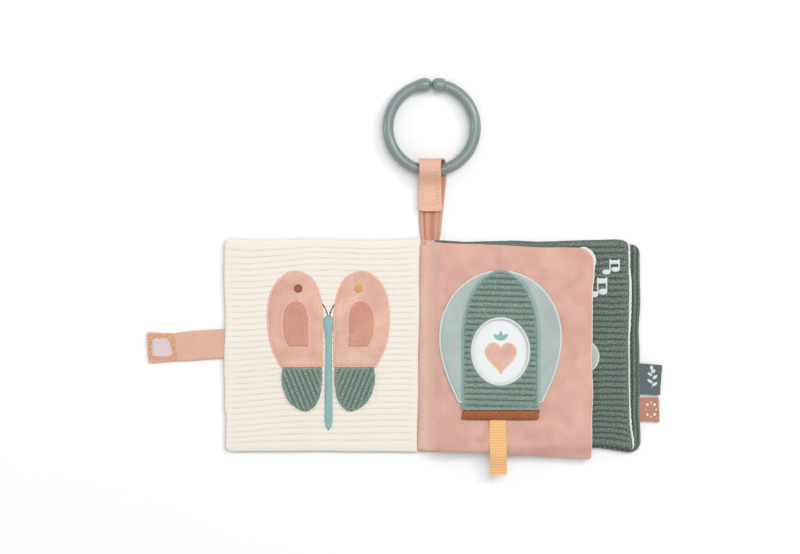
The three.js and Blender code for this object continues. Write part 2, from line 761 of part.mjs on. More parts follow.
makeSpine(book);
makeFrontCover(book);
makeButterfly(book);
makeClosureStrap(book);
makeBackCover(book);
makeLabels(book);
makeGreenLeaf(book);
makePinkLeaf(book);
makeBalloon(book);
makeSlider(book);
makeHangingStrap(book);
makeRing(book);

export default book;
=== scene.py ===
# Crinkle cloth book, open at its first spread: cloths, threads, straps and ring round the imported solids.
# Places and sizes are in millimetres, and mm turns them into Blender's metres.
import json
import math

import bmesh
import bpy
import numpy as np
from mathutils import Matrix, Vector
from mathutils.geometry import delaunay_2d_cdt


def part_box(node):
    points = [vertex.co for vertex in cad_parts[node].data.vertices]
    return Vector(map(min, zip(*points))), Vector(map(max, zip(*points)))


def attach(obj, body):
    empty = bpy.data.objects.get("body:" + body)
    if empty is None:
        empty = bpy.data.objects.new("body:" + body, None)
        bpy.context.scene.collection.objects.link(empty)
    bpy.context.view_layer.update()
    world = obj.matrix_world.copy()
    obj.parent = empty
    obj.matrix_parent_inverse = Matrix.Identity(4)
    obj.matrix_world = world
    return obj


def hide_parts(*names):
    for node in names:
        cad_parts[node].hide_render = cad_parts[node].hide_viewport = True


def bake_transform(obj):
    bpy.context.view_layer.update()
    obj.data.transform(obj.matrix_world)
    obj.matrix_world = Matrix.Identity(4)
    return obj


mm = 0.001
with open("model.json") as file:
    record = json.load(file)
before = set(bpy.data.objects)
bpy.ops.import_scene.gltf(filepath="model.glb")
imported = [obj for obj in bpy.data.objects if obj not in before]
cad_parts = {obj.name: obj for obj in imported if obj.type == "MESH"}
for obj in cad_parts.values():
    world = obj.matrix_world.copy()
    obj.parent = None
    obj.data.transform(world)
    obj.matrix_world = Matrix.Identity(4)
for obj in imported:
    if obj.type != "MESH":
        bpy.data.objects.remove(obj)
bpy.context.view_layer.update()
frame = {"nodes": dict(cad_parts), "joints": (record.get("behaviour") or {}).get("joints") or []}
print("frame loaded")


# Places taken from the frame

def boxOf(*names):
    boxes = [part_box(name) for name in names]
    low = np.min([tuple(b[0]) for b in boxes], axis=0) / mm
    high = np.max([tuple(b[1]) for b in boxes], axis=0) / mm
    return low, high


def hingeOf(name):
    joint = next(j for j in frame["joints"] if j["name"] == name)
    return np.array(joint["pos_m"]) / mm


topFaces = {"slack": 0.05, "upward": 0.9, "digits": 2}


def outlinesOf(name):
    # Loops round the highest faces of a solid, the outer one first.
    mesh = frame["nodes"][name].data
    lowest = max(v.co.z for v in mesh.vertices) - topFaces["slack"] * mm
    follow = {}
    for face in mesh.polygons:
        places = [mesh.vertices[i].co for i in face.vertices]
        if min(place.z for place in places) < lowest or face.normal.z < topFaces["upward"]:
            continue
        ring = [tuple(round(c / mm, topFaces["digits"]) for c in place[:2]) for place in places]
        for a, b in zip(ring, ring[1:] + ring[:1]):
            if a == b:
                continue
            if a in follow.get(b, ()):
                follow[b].remove(a)
            else:
                follow.setdefault(a, []).append(b)
    loops = []
    for start in [a for a in follow if follow[a]]:
        while follow[start]:
            loop = [start]
            here = follow[start].pop()
            while here != start and follow.get(here):
                loop.append(here)
                here = follow[here].pop()
            loops.append(np.array(loop))
    return sorted(loops, key=lambda loop: -abs(areaOf(loop)))


def areaOf(loop):
    x, y = loop[:, 0], loop[:, 1]
    return 0.5 * float(np.sum(x * np.roll(y, -1) - np.roll(x, -1) * y))


# Looks

def tint(red, green, blue):
    shares = [part / 255 for part in (red, green, blue)]
    return tuple(s / 12.92 if s <= 0.04045 else ((s + 0.055) / 1.055) ** 2.4 for s in shares) + (1,)


def setInputs(tree, node, inputs):
    # An input that is given a socket is linked to it, and any other is set.
    for key, value in inputs.items():
        if isinstance(value, bpy.types.NodeSocket):
            tree.links.new(value, node.inputs[key])
        else:
            node.inputs[key].default_value = value


def addNode(tree, kind, inputs=None, **settings):
    node = tree.nodes.new("ShaderNode" + kind)
    for key, value in settings.items():
        setattr(node, key, value)
    setInputs(tree, node, inputs or {})
    return node


def mixed(tree, share, first, second):
    # Inputs 0, 6 and 7 of a colour mix are its share and its two colours, and output 2 is the colour.
    return addNode(tree, "Mix", {0: share, 6: first, 7: second}, data_type="RGBA").outputs[2]


def counted(tree, operation, first, second, clamp=False):
    return addNode(tree, "Math", {0: first, 1: second}, operation=operation, use_clamp=clamp).outputs[0]


def ranged(tree, value, low, high, toLow=0.0, toHigh=1.0):
    inputs = {"Value": value, "From Min": low, "From Max": high, "To Min": toLow, "To Max": toHigh}
    return addNode(tree, "MapRange", inputs).outputs[0]


def noiseAt(tree, place, scale, detail, distortion=0.0):
    inputs = {"Vector": place, "Scale": scale, "Detail": detail, "Distortion": distortion}
    return addNode(tree, "TexNoise", inputs).outputs["Fac"]


def bandsAt(tree, place, pitch, turn, distortion):
    # Blender's wave runs 20 radians for each unit at scale 1.
    turned = addNode(tree, "Mapping", {"Vector": place, "Rotation": (0, 0, math.radians(turn))}).outputs[0]
    inputs = {"Vector": turned, "Scale": 2 * math.pi / (20 * pitch), "Distortion": distortion, "Detail Scale": 0.4}
    return addNode(tree, "TexWave", inputs).outputs["Fac"]


def stored(tree, name, output="Fac"):
    return addNode(tree, "Attribute", attribute_name=name).outputs[output]


def newLook(name):
    look = bpy.data.materials.new(name)
    look.use_nodes = True
    return look, look.node_tree, look.node_tree.nodes["Principled BSDF"]


weave = {
    "detail": 3, "patchRange": (0.35, 0.68), "grainRange": (0.42, 0.66), "rimRange": (-0.12, 0.12),
    "bandHeight": 0.8, "grainHeight": 0.5, "raggedScale": 0.75, "raggedRest": 0.25, "grooveHeight": 0.4,
}


def clothLook(name, cloth):
    look, tree, shader = newLook(name)
    place = stored(tree, "flatPlace", "Vector")
    tones = {key: tint(*cloth[key]) for key in (*toneNames, "rim") if key in cloth}
    patches = noiseAt(tree, place, cloth["patchScale"], weave["detail"], cloth["patchSwirl"])
    patches = counted(tree, "MULTIPLY", ranged(tree, patches, *weave["patchRange"]), cloth["patchShare"])
    shown = mixed(tree, patches, tones["base"], tones["light"])
    grain = noiseAt(tree, place, cloth["grainScale"], weave["detail"])
    speckle = counted(tree, "MULTIPLY", ranged(tree, grain, *weave["grainRange"]), cloth["grainShare"])
    shown = mixed(tree, speckle, shown, tones["speckle"])
    height = grain
    if "rim" in cloth:
        shown = mixed(tree, ranged(tree, stored(tree, "rimDepth"), *weave["rimRange"]), shown, tones["rim"])
    # Bands of thread darken the tone towards the groove tone between the threads: painted shade, along with the bump.
    for pitch, turn, share in cloth["bands"]:
        bands = bandsAt(tree, place, pitch, turn, cloth["bandSway"])
        shade = counted(tree, "MULTIPLY", counted(tree, "SUBTRACT", 1.0, bands), share)
        shown = mixed(tree, shade, shown, tones["groove"])
        below = counted(tree, "MULTIPLY", height, weave["grainHeight"])
        height = counted(tree, "ADD", counted(tree, "MULTIPLY", bands, weave["bandHeight"]), below)
    # The groove attribute mixes in the groove tone: painted shade in the rib grooves and the pleats, and painted
    # light on the gutter side of the pink velvet.
    if cloth["grooved"]:
        groove = stored(tree, "groove")
        ragged = counted(tree, "SUBTRACT", noiseAt(tree, place, weave["raggedScale"], weave["detail"]), 0.5)
        ragged = counted(tree, "MULTIPLY", ragged, cloth["ragged"])
        ragged = counted(tree, "MULTIPLY", ragged, counted(tree, "ADD", groove, weave["raggedRest"]))
        ragged = counted(tree, "ADD", groove, ragged, True)
        shown = mixed(tree, counted(tree, "MULTIPLY", ragged, cloth["grooved"], True), shown, tones["groove"])
        height = counted(tree, "SUBTRACT", height, counted(tree, "MULTIPLY", ragged, weave["grooveHeight"]))
    bump = addNode(tree, "Bump", {"Distance": cloth["bumpDepth"] * mm, "Strength": cloth["bumpStrength"],
                                  "Height": height})
    setInputs(tree, shader, {
        "Base Color": shown, "Normal": bump.outputs[0], "Roughness": cloth["roughness"],
        "Specular IOR Level": cloth["shine"], "Sheen Weight": cloth["sheen"],
        "Sheen Roughness": cloth["sheenRoughness"], "Sheen Tint": tones["light"]})
    return look


plain = {"patchSwirl": 0.6, "bands": (), "bandSway": 0.0, "grooved": 0, "ragged": 0.9, "bumpStrength": 0.8,
         "shine": 0.2, "sheenRoughness": 0.5}
families = {
    "corduroy": {
        "patchScale": 0.03, "patchShare": 0.35, "grainScale": 0.9, "grainShare": 0.75,
        "bumpDepth": 0.45, "bumpStrength": 1.0, "roughness": 0.95, "sheen": 0.12},
    "velvet": {
        "patchScale": 0.045, "patchShare": 0.8, "patchSwirl": 0.7, "grainScale": 1.3, "grainShare": 0.6,
        "bumpDepth": 0.12, "bumpStrength": 0.5, "roughness": 0.85, "sheen": 0.25, "sheenRoughness": 0.35},
    "thread": {
        "patchScale": 0.1, "patchShare": 0.3, "grainScale": 2.0, "grainShare": 0.3,
        "bumpDepth": 0.25, "roughness": 0.6, "sheen": 0.1, "shine": 0.4},
    "cotton": {
        "patchScale": 0.05, "patchShare": 0.4, "grainScale": 1.6, "grainShare": 0.25,
        "bumpDepth": 0.12, "roughness": 0.85, "sheen": 0.1},
}
fineWeave = {"bands": [(0.7, 0, 0.12), (0.7, 90, 0.12)], "ragged": 0.3}
# The groove tone is painted shade where it is darker: in the grooves of ribs, in pleats and between threads. On the
# pink velvet it is lighter, as painted light near the gutter.
toneNames = ("base", "light", "speckle", "groove")
cloths = {  # family, the tones in their order, and what else differs; a band is pitch, turn and share
    "creamCorduroy": ("corduroy", [(230, 223, 213), (235, 229, 221), (224, 215, 204), (208, 197, 184)],
                      {"grooved": 0.75, "grainShare": 0.4, "bumpDepth": 0.25}),
    "greenCorduroy": ("corduroy", [(83, 95, 88), (96, 108, 101), (146, 158, 151), (54, 65, 59)],
                      {"rim": (222, 228, 224), "grooved": 0.9, "ragged": 1.3}),
    "spineLining": ("velvet", [(206, 162, 147), (222, 184, 168), (196, 150, 135)], {"rim": (96, 108, 101)}),
    "paleGreenCorduroy": ("corduroy", [(105, 125, 116), (118, 138, 128), (160, 178, 169), (74, 92, 84)],
                          {"grooved": 0.9}),
    # the pink velvet's fourth tone is lighter: painted light on the velvet near the gutter
    "pinkVelvet": ("velvet", [(202, 157, 143), (220, 179, 164), (188, 142, 128), (214, 177, 161)],
                   {"grooved": 1.0, "ragged": 0.5}),
    "wingVelvet": ("velvet", [(206, 161, 146), (228, 192, 173), (197, 150, 134)], {}),
    "rosePanel": ("velvet", [(198, 144, 124), (210, 160, 140), (170, 114, 94)], {"grainScale": 1.4}),
    "greyBlueVelvet": ("velvet", [(163, 174, 171), (180, 190, 187), (154, 165, 162)], {}),
    "palePatchVelvet": ("velvet", [(173, 179, 173), (191, 195, 189), (162, 169, 164)], {}),
    "whiteCotton": ("cotton", [(226, 229, 230), (234, 237, 238), (216, 220, 221), (206, 211, 212)],
                    {"bands": [(0.7, 0, 0.15), (0.7, 90, 0.15)]}),
    "whiteThread": ("thread", [(222, 226, 225), (234, 238, 237), (206, 212, 211), (180, 190, 188)],
                    {"bands": [(0.8, 0, 0.4)]}),
    "peachThread": ("thread", [(240, 196, 176), (246, 210, 192), (228, 176, 154), (206, 150, 126)],
                    {"bands": [(0.75, 0, 0.45)]}),
    "paleThread": ("thread", [(216, 226, 221), (228, 236, 232), (200, 212, 207), (170, 184, 179)],
                   {"bands": [(0.75, 0, 0.4)]}),
    "aquaThread": ("thread", [(144, 184, 181), (164, 200, 197), (128, 168, 166), (104, 148, 146)],
                   {"bands": [(0.85, 0, 0.45)]}),
    "rustThread": ("thread", [(178, 106, 64), (196, 122, 76), (156, 88, 50), (116, 64, 38)],
                   {"bands": [(1.3, 10, 0.7)], "bandSway": 2.5}),
    "brownThread": ("thread", [(158, 92, 62), (174, 108, 76), (138, 76, 48), (112, 60, 38)],
                    {"bands": [(0.7, 0, 0.45)]}),
    "ochreThread": ("thread", [(224, 166, 106), (236, 184, 126), (208, 146, 86), (182, 124, 70)],
                    {"bands": [(0.7, 0, 0.45)]}),
    "orangeThread": ("thread", [(232, 166, 108), (242, 184, 130), (216, 146, 90), (206, 138, 84)],
                     {"bands": [(0.7, 0, 0.3)]}),
    "darkThread": ("thread", [(52, 52, 50), (74, 74, 70), (34, 34, 34), (24, 24, 24)], {"bands": [(0.8, 0, 0.4)]}),
    "apricotGrosgrain": ("cotton", [(236, 188, 132), (242, 198, 146), (226, 174, 116), (208, 154, 98)],
                         {"bands": [(2.1, 90, 0.5)], "bumpDepth": 0.3, "roughness": 0.6}),
    "peachCotton": ("cotton", [(226, 181, 159), (234, 192, 171), (216, 167, 144), (196, 142, 118)],
                    {**fineWeave, "grooved": 0.8}),
    "strapPeach": ("cotton", [(217, 174, 152), (226, 185, 164), (208, 161, 138), (196, 142, 118)],
                   {**fineWeave, "grooved": 0.8}),
    # a darker peach for the hanging band: partly its own deeper nap, partly painted shade in its pleats
    "shadedDeepPeachCotton": ("cotton", [(208, 158, 135), (221, 175, 153), (196, 145, 121), (168, 112, 88)],
                        {**fineWeave, "grooved": 0.9}),
    "seamThread": ("thread", [(244, 208, 168), (250, 220, 186), (232, 188, 146), (214, 166, 124)],
                   {"bands": [(0.5, 0, 0.3)]}),
    "peachLining": ("velvet", [(209, 170, 155), (220, 186, 170), (200, 158, 143)], {}),
    "whiteBack": ("velvet", [(208, 215, 211), (218, 224, 221), (192, 200, 196)], {"grainScale": 1.1}),
    "creamBack": ("velvet", [(219, 211, 205), (227, 221, 216), (206, 197, 190)],
                  {"grainScale": 1.1, "grainShare": 0.5}),
    "hookAndLoop": ("cotton", [(218, 200, 202), (228, 213, 215), (196, 176, 181)],
                    {"grainScale": 2.4, "grainShare": 0.6, "bumpDepth": 0.5, "roughness": 0.8, "sheen": 0.3}),
    "slateWoven": ("cotton", [(95, 104, 107), (105, 113, 116), (83, 92, 96), (64, 72, 78)],
                   {"bands": [(0.8, 45, 0.35)], "roughness": 0.65}),
    "roseWoven": ("cotton", [(180, 132, 114), (190, 142, 124), (168, 120, 103), (150, 102, 86)],
                  {"bands": [(0.8, 45, 0.35)], "roughness": 0.65}),
    "crackleFilm": ("cotton", [(206, 212, 212), (226, 230, 230), (190, 198, 198)],
                    {"roughness": 0.3, "shine": 0.6}),
    "wadding": ("cotton", [(238, 237, 230), (246, 245, 240), (224, 222, 214)],
                {"grainScale": 0.8, "bumpDepth": 0.5}),
}
looks = {name: clothLook(name, {**plain, **families[family], **dict(zip(toneNames, tones)), **more})
         for name, (family, tones, more) in cloths.items()}

plastic = {
    "base": (119, 132, 131), "lighter": 9, "cloud": (0.08, 3), "cloudRange": (0.3, 0.7), "cloudShare": 0.35,
    "scuffs": (0.5, 4), "scuffRange": (0.3, 0.7, 0.2, 0.3), "dents": (0.6, 2), "dentDepth": 0.02, "dentShare": 0.5,
}


def plasticLook(name):
    look, tree, shader = newLook(name)
    place = stored(tree, "flatPlace", "Vector")
    cloud = ranged(tree, noiseAt(tree, place, *plastic["cloud"]), *plastic["cloudRange"])
    lighter = [part + plastic["lighter"] for part in plastic["base"]]
    cloud = counted(tree, "MULTIPLY", cloud, plastic["cloudShare"])
    shown = mixed(tree, cloud, tint(*plastic["base"]), tint(*lighter))
    bump = addNode(tree, "Bump", {"Distance": plastic["dentDepth"] * mm, "Strength": plastic["dentShare"],
                                  "Height": noiseAt(tree, place, *plastic["dents"])})
    setInputs(tree, shader, {
        "Base Color": shown, "Normal": bump.outputs[0],
        "Roughness": ranged(tree, noiseAt(tree, place, *plastic["scuffs"]), *plastic["scuffRange"]),
        "Specular IOR Level": 0.5, "Coat Weight": 0.25, "Coat Roughness": 0.15,
        "Subsurface Weight": 0.06, "Subsurface Scale": 1.5 * mm})
    return look


looks["sagePlastic"] = plasticLook("sagePlastic")
print("looks made")


# Mesh tools

def smoothStep(low, high, value):
    share = np.clip((value - low) / (high - low), 0, 1)
    return share * share * (3 - 2 * share)


def unevenness(x, y, seed, across, count=7):
    # Slow soft waves of about unit height, with wavelengths near a given distance.
    draws = np.random.default_rng(seed)
    total = 0
    for _ in range(count):
        angle, phase = draws.uniform(0, 2 * math.pi, 2)
        wave = 2 * math.pi / (across * draws.uniform(0.6, 1.8))
        total = total + np.sin(wave * (x * math.cos(angle) + y * math.sin(angle)) + phase)
    return total / math.sqrt(count)


def grooveShare(across, pitch, sharp):
    phase = np.mod(across / pitch, 1)
    return (1 - 2 * np.minimum(phase, 1 - phase)) ** sharp


def roundedRise(distance, reach):
    return np.sqrt(np.maximum(0, 1 - (1 - np.clip(distance / reach, 0, 1)) ** 2))


def runOf(line):
    return np.concatenate([[0], np.cumsum(np.linalg.norm(np.diff(line, axis=0), axis=1))])


def unit(vectors):
    return vectors / np.linalg.norm(vectors, axis=1, keepdims=True)


def wayAlong(line):
    return unit(np.gradient(line, axis=0))


def shut(line):
    return np.vstack([line, line[:1]])


def meshPiece(name, points, faces, pieceLooks, faceLooks=None, flat=None, groove=None, rim=None, outward=True):
    # flatPlace holds each point's place in the cloth laid flat, which the looks are drawn by.
    points = np.asarray(points, float)
    mesh = bpy.data.meshes.new(name)
    mesh.from_pydata((points * mm).tolist(), [], [list(map(int, face)) for face in faces])
    for look in pieceLooks:
        mesh.materials.append(looks[look])
    if faceLooks is not None:
        mesh.polygons.foreach_set("material_index", np.asarray(faceLooks, np.int32))
    mesh.polygons.foreach_set("use_smooth", np.ones(len(mesh.polygons), bool))
    flat = points if flat is None else np.asarray(flat, float)
    groove = np.zeros(len(points)) if groove is None else groove
    rim = np.full(len(points), -1.0) if rim is None else rim
    for key, kind, field, values in (("flatPlace", "FLOAT_VECTOR", "vector", flat),
                                     ("groove", "FLOAT", "value", groove), ("rimDepth", "FLOAT", "value", rim)):
        data = mesh.attributes.new(key, kind, "POINT").data
        data.foreach_set(field, np.asarray(values, np.float32).ravel())
    if outward:
        work = bmesh.new()
        work.from_mesh(mesh)
        bmesh.ops.recalc_face_normals(work, faces=work.faces)
        work.to_mesh(mesh)
        work.free()
    mesh.update()
    piece = bpy.data.objects.new(name, mesh)
    bpy.context.scene.collection.objects.link(piece)
    return piece


def gridFaces(index):
    a, b = index[:-1, :-1].ravel(), index[:-1, 1:].ravel()
    c, d = index[1:, 1:].ravel(), index[1:, :-1].ravel()
    return np.stack([a, b, c, d], axis=1)


def tubeFaces(rings, sides, closed=False, first=0):
    # Faces round a row of rings, which has a face over each end or runs on into itself.
    index = first + np.arange(rings * sides).reshape(rings, sides)
    around = np.hstack([index, index[:, :1]])
    if closed:
        return gridFaces(shut(around)).tolist()
    return gridFaces(around).tolist() + [index[0].tolist(), index[-1][::-1].tolist()]


def gradedLine(length, step, ends):
    half = length / 2
    count = int((half - ends[-1] - 0.4 * step) / step)
    inner = np.arange(-count, count + 1) * step
    outer = half - np.array(ends)
    return np.concatenate([-outer, inner, outer[::-1]])


def edgeDistance(x, y, wide, tall, corners):
    lowLeft, lowRight, topRight, topLeft = corners
    radius = np.where(x < 0, np.where(y < 0, lowLeft, topLeft), np.where(y < 0, lowRight, topRight))
    pastX = np.abs(x) - (wide / 2 - radius)
    pastY = np.abs(y) - (tall / 2 - radius)
    outside = np.hypot(np.maximum(pastX, 0), np.maximum(pastY, 0))
    return radius - outside - np.minimum(np.maximum(pastX, pastY), 0)


# What a pad has unless its own settings differ, then the reach of its forms, and how far apart their seeds are
plainPad = {
    "ends": (0, 0.12, 0.4, 0.85, 1.5, 2.4, 3.5), "step": 2.4, "crown": 0, "waves": 0, "wavesAcross": 40,
    "deepest": 9, "notch": 0, "sway": 0, "climb": (0, 0, 1), "slope": 0, "cornerMoves": ((0, 0),) * 4, "sides": {},
}
plainRibs = {"cuts": 8, "edgeShare": 0.4, "wobble": 0, "patchy": 0}
padForm = {
    "calmEdge": 12, "ribsFade": (1, 7), "seamFree": 1.2, "wobbleAcross": 13, "patchAcross": 26, "patchTall": 2.2,
    "edgePower": 6, "wanderUp": 34, "wanderAcross": 46, "notchSharp": 2, "notchPower": 60,
    "swayAcross": 90, "swayFade": 14, "climbFade": 16, "sideFade": (0.4, 1), "underFlat": -9.0,
}
padSeeds = {"wobble": 90, "patchy": 95, "wanderX": 50, "wanderY": 60, "sway": 70}


def padPiece(name, low, high, pad, pieceLooks):
    # A sewn cloth pad: two cloths that meet in a seam all round, with ribs in their faces.
    pad = {**plainPad, **pad}
    seeds = {key: pad["seed"] + more for key, more in padSeeds.items()}
    wide, tall = high[0] - low[0], high[1] - low[1]
    middle = (low[:2] + high[:2]) / 2
    corners = pad["corners"]
    allRibs = {side: {**plainRibs, **pad[side]} for side in ("topRibs", "lowRibs") if side in pad}
    steps = {False: pad["step"], True: pad["step"]}
    for ribs in allRibs.values():
        steps[ribs["upright"]] = min(steps[ribs["upright"]], ribs["pitch"] / ribs["cuts"])
    columns, rows = gradedLine(wide, steps[True], pad["ends"]), gradedLine(tall, steps[False], pad["ends"])
    y = np.repeat(rows[:, None], len(columns), axis=1)

    def drawnIn(lowCorner, topCorner):
        below = np.maximum(0, lowCorner - (rows + tall / 2))
        above = np.maximum(0, topCorner - (tall / 2 - rows))
        return (lowCorner - np.sqrt(lowCorner ** 2 - below ** 2)
                + topCorner - np.sqrt(topCorner ** 2 - above ** 2))

    left = -wide / 2 + drawnIn(corners[0], corners[3])
    right = wide / 2 - drawnIn(corners[1], corners[2])
    share = (columns + wide / 2) / wide
    x = left[:, None] + (right - left)[:, None] * share[None, :]
    distance = edgeDistance(x, y, wide, tall, corners)
    u, v = 2 * x / wide, 2 * y / tall
    seam = pad["seam"]
    rise = roundedRise(distance, pad["reach"])
    crown = pad["crown"] * (1 - u ** 2) * (1 - v ** 2)
    waves = np.maximum(pad["waves"] * unevenness(x, y, pad["seed"], pad["wavesAcross"]), -pad["deepest"])
    swelling = (crown + waves) * smoothStep(0, padForm["calmEdge"], distance)
    heights = {"topRibs": seam + (high[2] - seam) * rise + swelling, "lowRibs": seam - (seam - low[2]) * rise}
    grooves = {side: np.zeros_like(x) for side in heights}
    for side, ribs in allRibs.items():
        across, along = (x, y) if ribs["upright"] else (y, x)
        across = across + ribs["wobble"] * unevenness(across, along, seeds["wobble"], padForm["wobbleAcross"])
        flatter = unevenness(x, padForm["patchTall"] * y, seeds["patchy"], padForm["patchAcross"])
        groove = grooveShare(across, ribs["pitch"], ribs["sharp"])
        groove = groove * (1 - ribs["patchy"] * (0.5 - 0.5 * np.tanh(1.2 * flatter)))
        edge = ribs["edgeShare"]
        grooves[side] = groove * (edge + (1 - edge) * smoothStep(*padForm["ribsFade"], distance))
        depth = ribs["depth"] * grooves[side] * smoothStep(0, padForm["seamFree"], distance)
        heights[side] = heights[side] + (-depth if side == "topRibs" else depth)
    topZ, lowZ = heights.values()
    if "topShape" in pad:
        topZ = pad["topShape"](x + middle[0], y + middle[1], topZ)
    if "lowShape" in pad:
        lowZ = pad["lowShape"](x + middle[0], y + middle[1], lowZ)

    # The pad draws in along its sides, its edges wander, and its ribs sway and climb.
    shiftX = -pad["draw"] * u * (1 - v * v) + pad["wander"] * np.abs(u) ** padForm["edgePower"] * unevenness(
        0 * x, y, seeds["wanderX"], padForm["wanderUp"])
    shiftY = -pad["draw"] * v * (1 - u * u) + pad["wander"] * np.abs(v) ** padForm["edgePower"] * unevenness(
        x, 0 * y, seeds["wanderY"], padForm["wanderAcross"])
    if pad["notch"]:
        notches = grooveShare(y, pad["topRibs"]["pitch"], padForm["notchSharp"])
        shiftX = shiftX - np.sign(u) * pad["notch"] * notches * np.abs(u) ** padForm["notchPower"]
    swaying = unevenness(x, y, seeds["sway"], padForm["swayAcross"]) * smoothStep(0, padForm["swayFade"], distance)
    climb, climbFrom, climbTo = pad["climb"]
    climbing = pad["slope"] * x + climb * (smoothStep(climbFrom, climbTo, x) - 0.5)
    shiftY = shiftY + pad["sway"] * swaying + climbing * smoothStep(0, padForm["climbFade"], tall / 2 - np.abs(y))
    s, t = (u + 1) / 2, (v + 1) / 2
    for (moveX, moveY), weight in zip(pad["cornerMoves"], ((1 - s) * (1 - t), s * (1 - t), s * t, (1 - s) * t)):
        shiftX = shiftX + moveX * weight
        shiftY = shiftY + moveY * weight
    for side, (places, pushes) in pad["sides"].items():  # a side that comes in and out along its length
        outwards = {"left": -u, "right": u, "bottom": -v, "top": v}[side]
        near = smoothStep(*padForm["sideFade"], outwards)
        if side in ("left", "right"):
            shiftX = shiftX + np.interp(y + middle[1], places, pushes) * near
        else:
            shiftY = shiftY + np.interp(x + middle[0], places, pushes) * near
    placedX, placedY = x + shiftX + middle[0], y + shiftY + middle[1]
    if "settle" in pad:
        centre, thin = pad["settle"](placedX, placedY)
        topZ, lowZ = centre + (topZ - seam) * thin, centre + (lowZ - seam) * thin

    rowCount, columnCount = x.shape
    topIndex = np.arange(rowCount * columnCount).reshape(rowCount, columnCount)
    lowIndex = topIndex.copy()
    inner = (slice(1, -1), slice(1, -1))
    lowIndex[inner] = topIndex.size + np.arange(lowIndex[inner].size).reshape(rowCount - 2, -1)

    def stacked(*parts):
        return np.stack(parts, axis=-1).reshape(-1, 3)

    points = np.concatenate([stacked(placedX, placedY, topZ),
                             stacked(placedX[inner], placedY[inner], lowZ[inner])])
    flat = np.concatenate([stacked(x, y, np.zeros_like(x)),
                           stacked(x[inner], y[inner], np.full_like(x[inner], padForm["underFlat"]))])
    faces = np.concatenate([gridFaces(topIndex), gridFaces(lowIndex)[:, ::-1]])
    faceLooks = np.repeat([0, 1], len(faces) // 2)
    if "wrap" in pad:  # the top cloth goes on round the left edge
        faceLooks[len(faces) // 2:][(x[1:, 1:] < pad["wrap"] - wide / 2).ravel()] = 0
    rim = np.full(len(points), -1.0)
    if "rim" in pad:  # the back cloth comes round to the front, by a width that changes along the edge
        rim = np.concatenate([(pad["rim"](x, y) - np.maximum(distance, 0)).ravel(), np.ones(len(points) - x.size)])
    if "paintedLightFade" in pad:  # a painted lighter tone, light on the cloth, that fades away from one side
        grooves = {side: pad["paintedLightFade"](x + middle[0], y + middle[1]) for side in grooves}
    # The groove share goes to the looks: painted shade in the ribs' grooves, or the painted light of the fade.
    groove = np.concatenate([grooves["topRibs"].ravel(), grooves["lowRibs"][inner].ravel()])
    piece = meshPiece(name, points, faces, pieceLooks, faceLooks, flat, groove, rim, outward=False)
    return piece, np.stack([placedX[:, -1], placedY[:, -1], topZ[:, -1]], axis=1)


def evenLine(points, step, closed):
    line = np.asarray(points, float)
    line = shut(line) if closed else line
    lengths = runOf(line)
    places = np.linspace(0, lengths[-1], max(3, int(round(lengths[-1] / step))) + 1)
    even = np.stack([np.interp(places, lengths, line[:, i]) for i in range(line.shape[1])], axis=1)
    return even[:-1] if closed else even


def softened(loop, times, closed=True):
    for _ in range(times):
        fresh = (np.roll(loop, 1, axis=0) + 2 * loop + np.roll(loop, -1, axis=0)) / 4
        if not closed:
            fresh[0], fresh[-1] = loop[0], loop[-1]
        loop = fresh
    return loop


def sideOf(loop, closed=True):
    # Unit vectors that point to the right of the way along the line.
    along = np.roll(loop, -1, axis=0) - np.roll(loop, 1, axis=0) if closed else np.gradient(loop, axis=0)
    along = along / np.maximum(np.linalg.norm(along, axis=1, keepdims=True), 1e-9)
    return np.stack([along[:, 1], -along[:, 0]], axis=1)


def insideOf(points, loops):
    # Inside the first loop and outside the others.
    inside = np.ones(len(points), bool)
    for count, loop in enumerate(loops):
        within = np.zeros(len(points), bool)
        for (ax, ay), (bx, by) in zip(loop, np.roll(loop, -1, axis=0)):
            crosses = (ay > points[:, 1]) != (by > points[:, 1])
            with np.errstate(divide="ignore", invalid="ignore"):
                meet = ax + (points[:, 1] - ay) * (bx - ax) / (by - ay)
            within ^= crosses & (points[:, 0] < meet)
        inside &= ~within if count else within
    return inside


def distanceTo(points, loops):
    nearest = np.full(len(points), 1e9)
    for loop in loops:
        for start, end in zip(loop, np.roll(loop, -1, axis=0)):
            run = end - start
            share = np.clip(((points - start) @ run) / max(run @ run, 1e-12), 0, 1)
            nearest = np.minimum(nearest, np.linalg.norm(points - start - share[:, None] * run, axis=1))
    return nearest


plainPatch = {"edgeStep": 0.8, "soften": 2, "fuzz": 0, "step": 2.0, "seamShare": 0.15, "waves": 0, "seed": 3}
patchForm = {
    "insetShares": (0.12, 0.38, 0.75), "insetKept": 0.93, "gridReach": 1.5, "ribCuts": 6, "fuzzSeed": 5,
    "ribsFade": (0.3, 2.5), "wavesAcross": 18, "wavesFade": (0.5, 5),
}


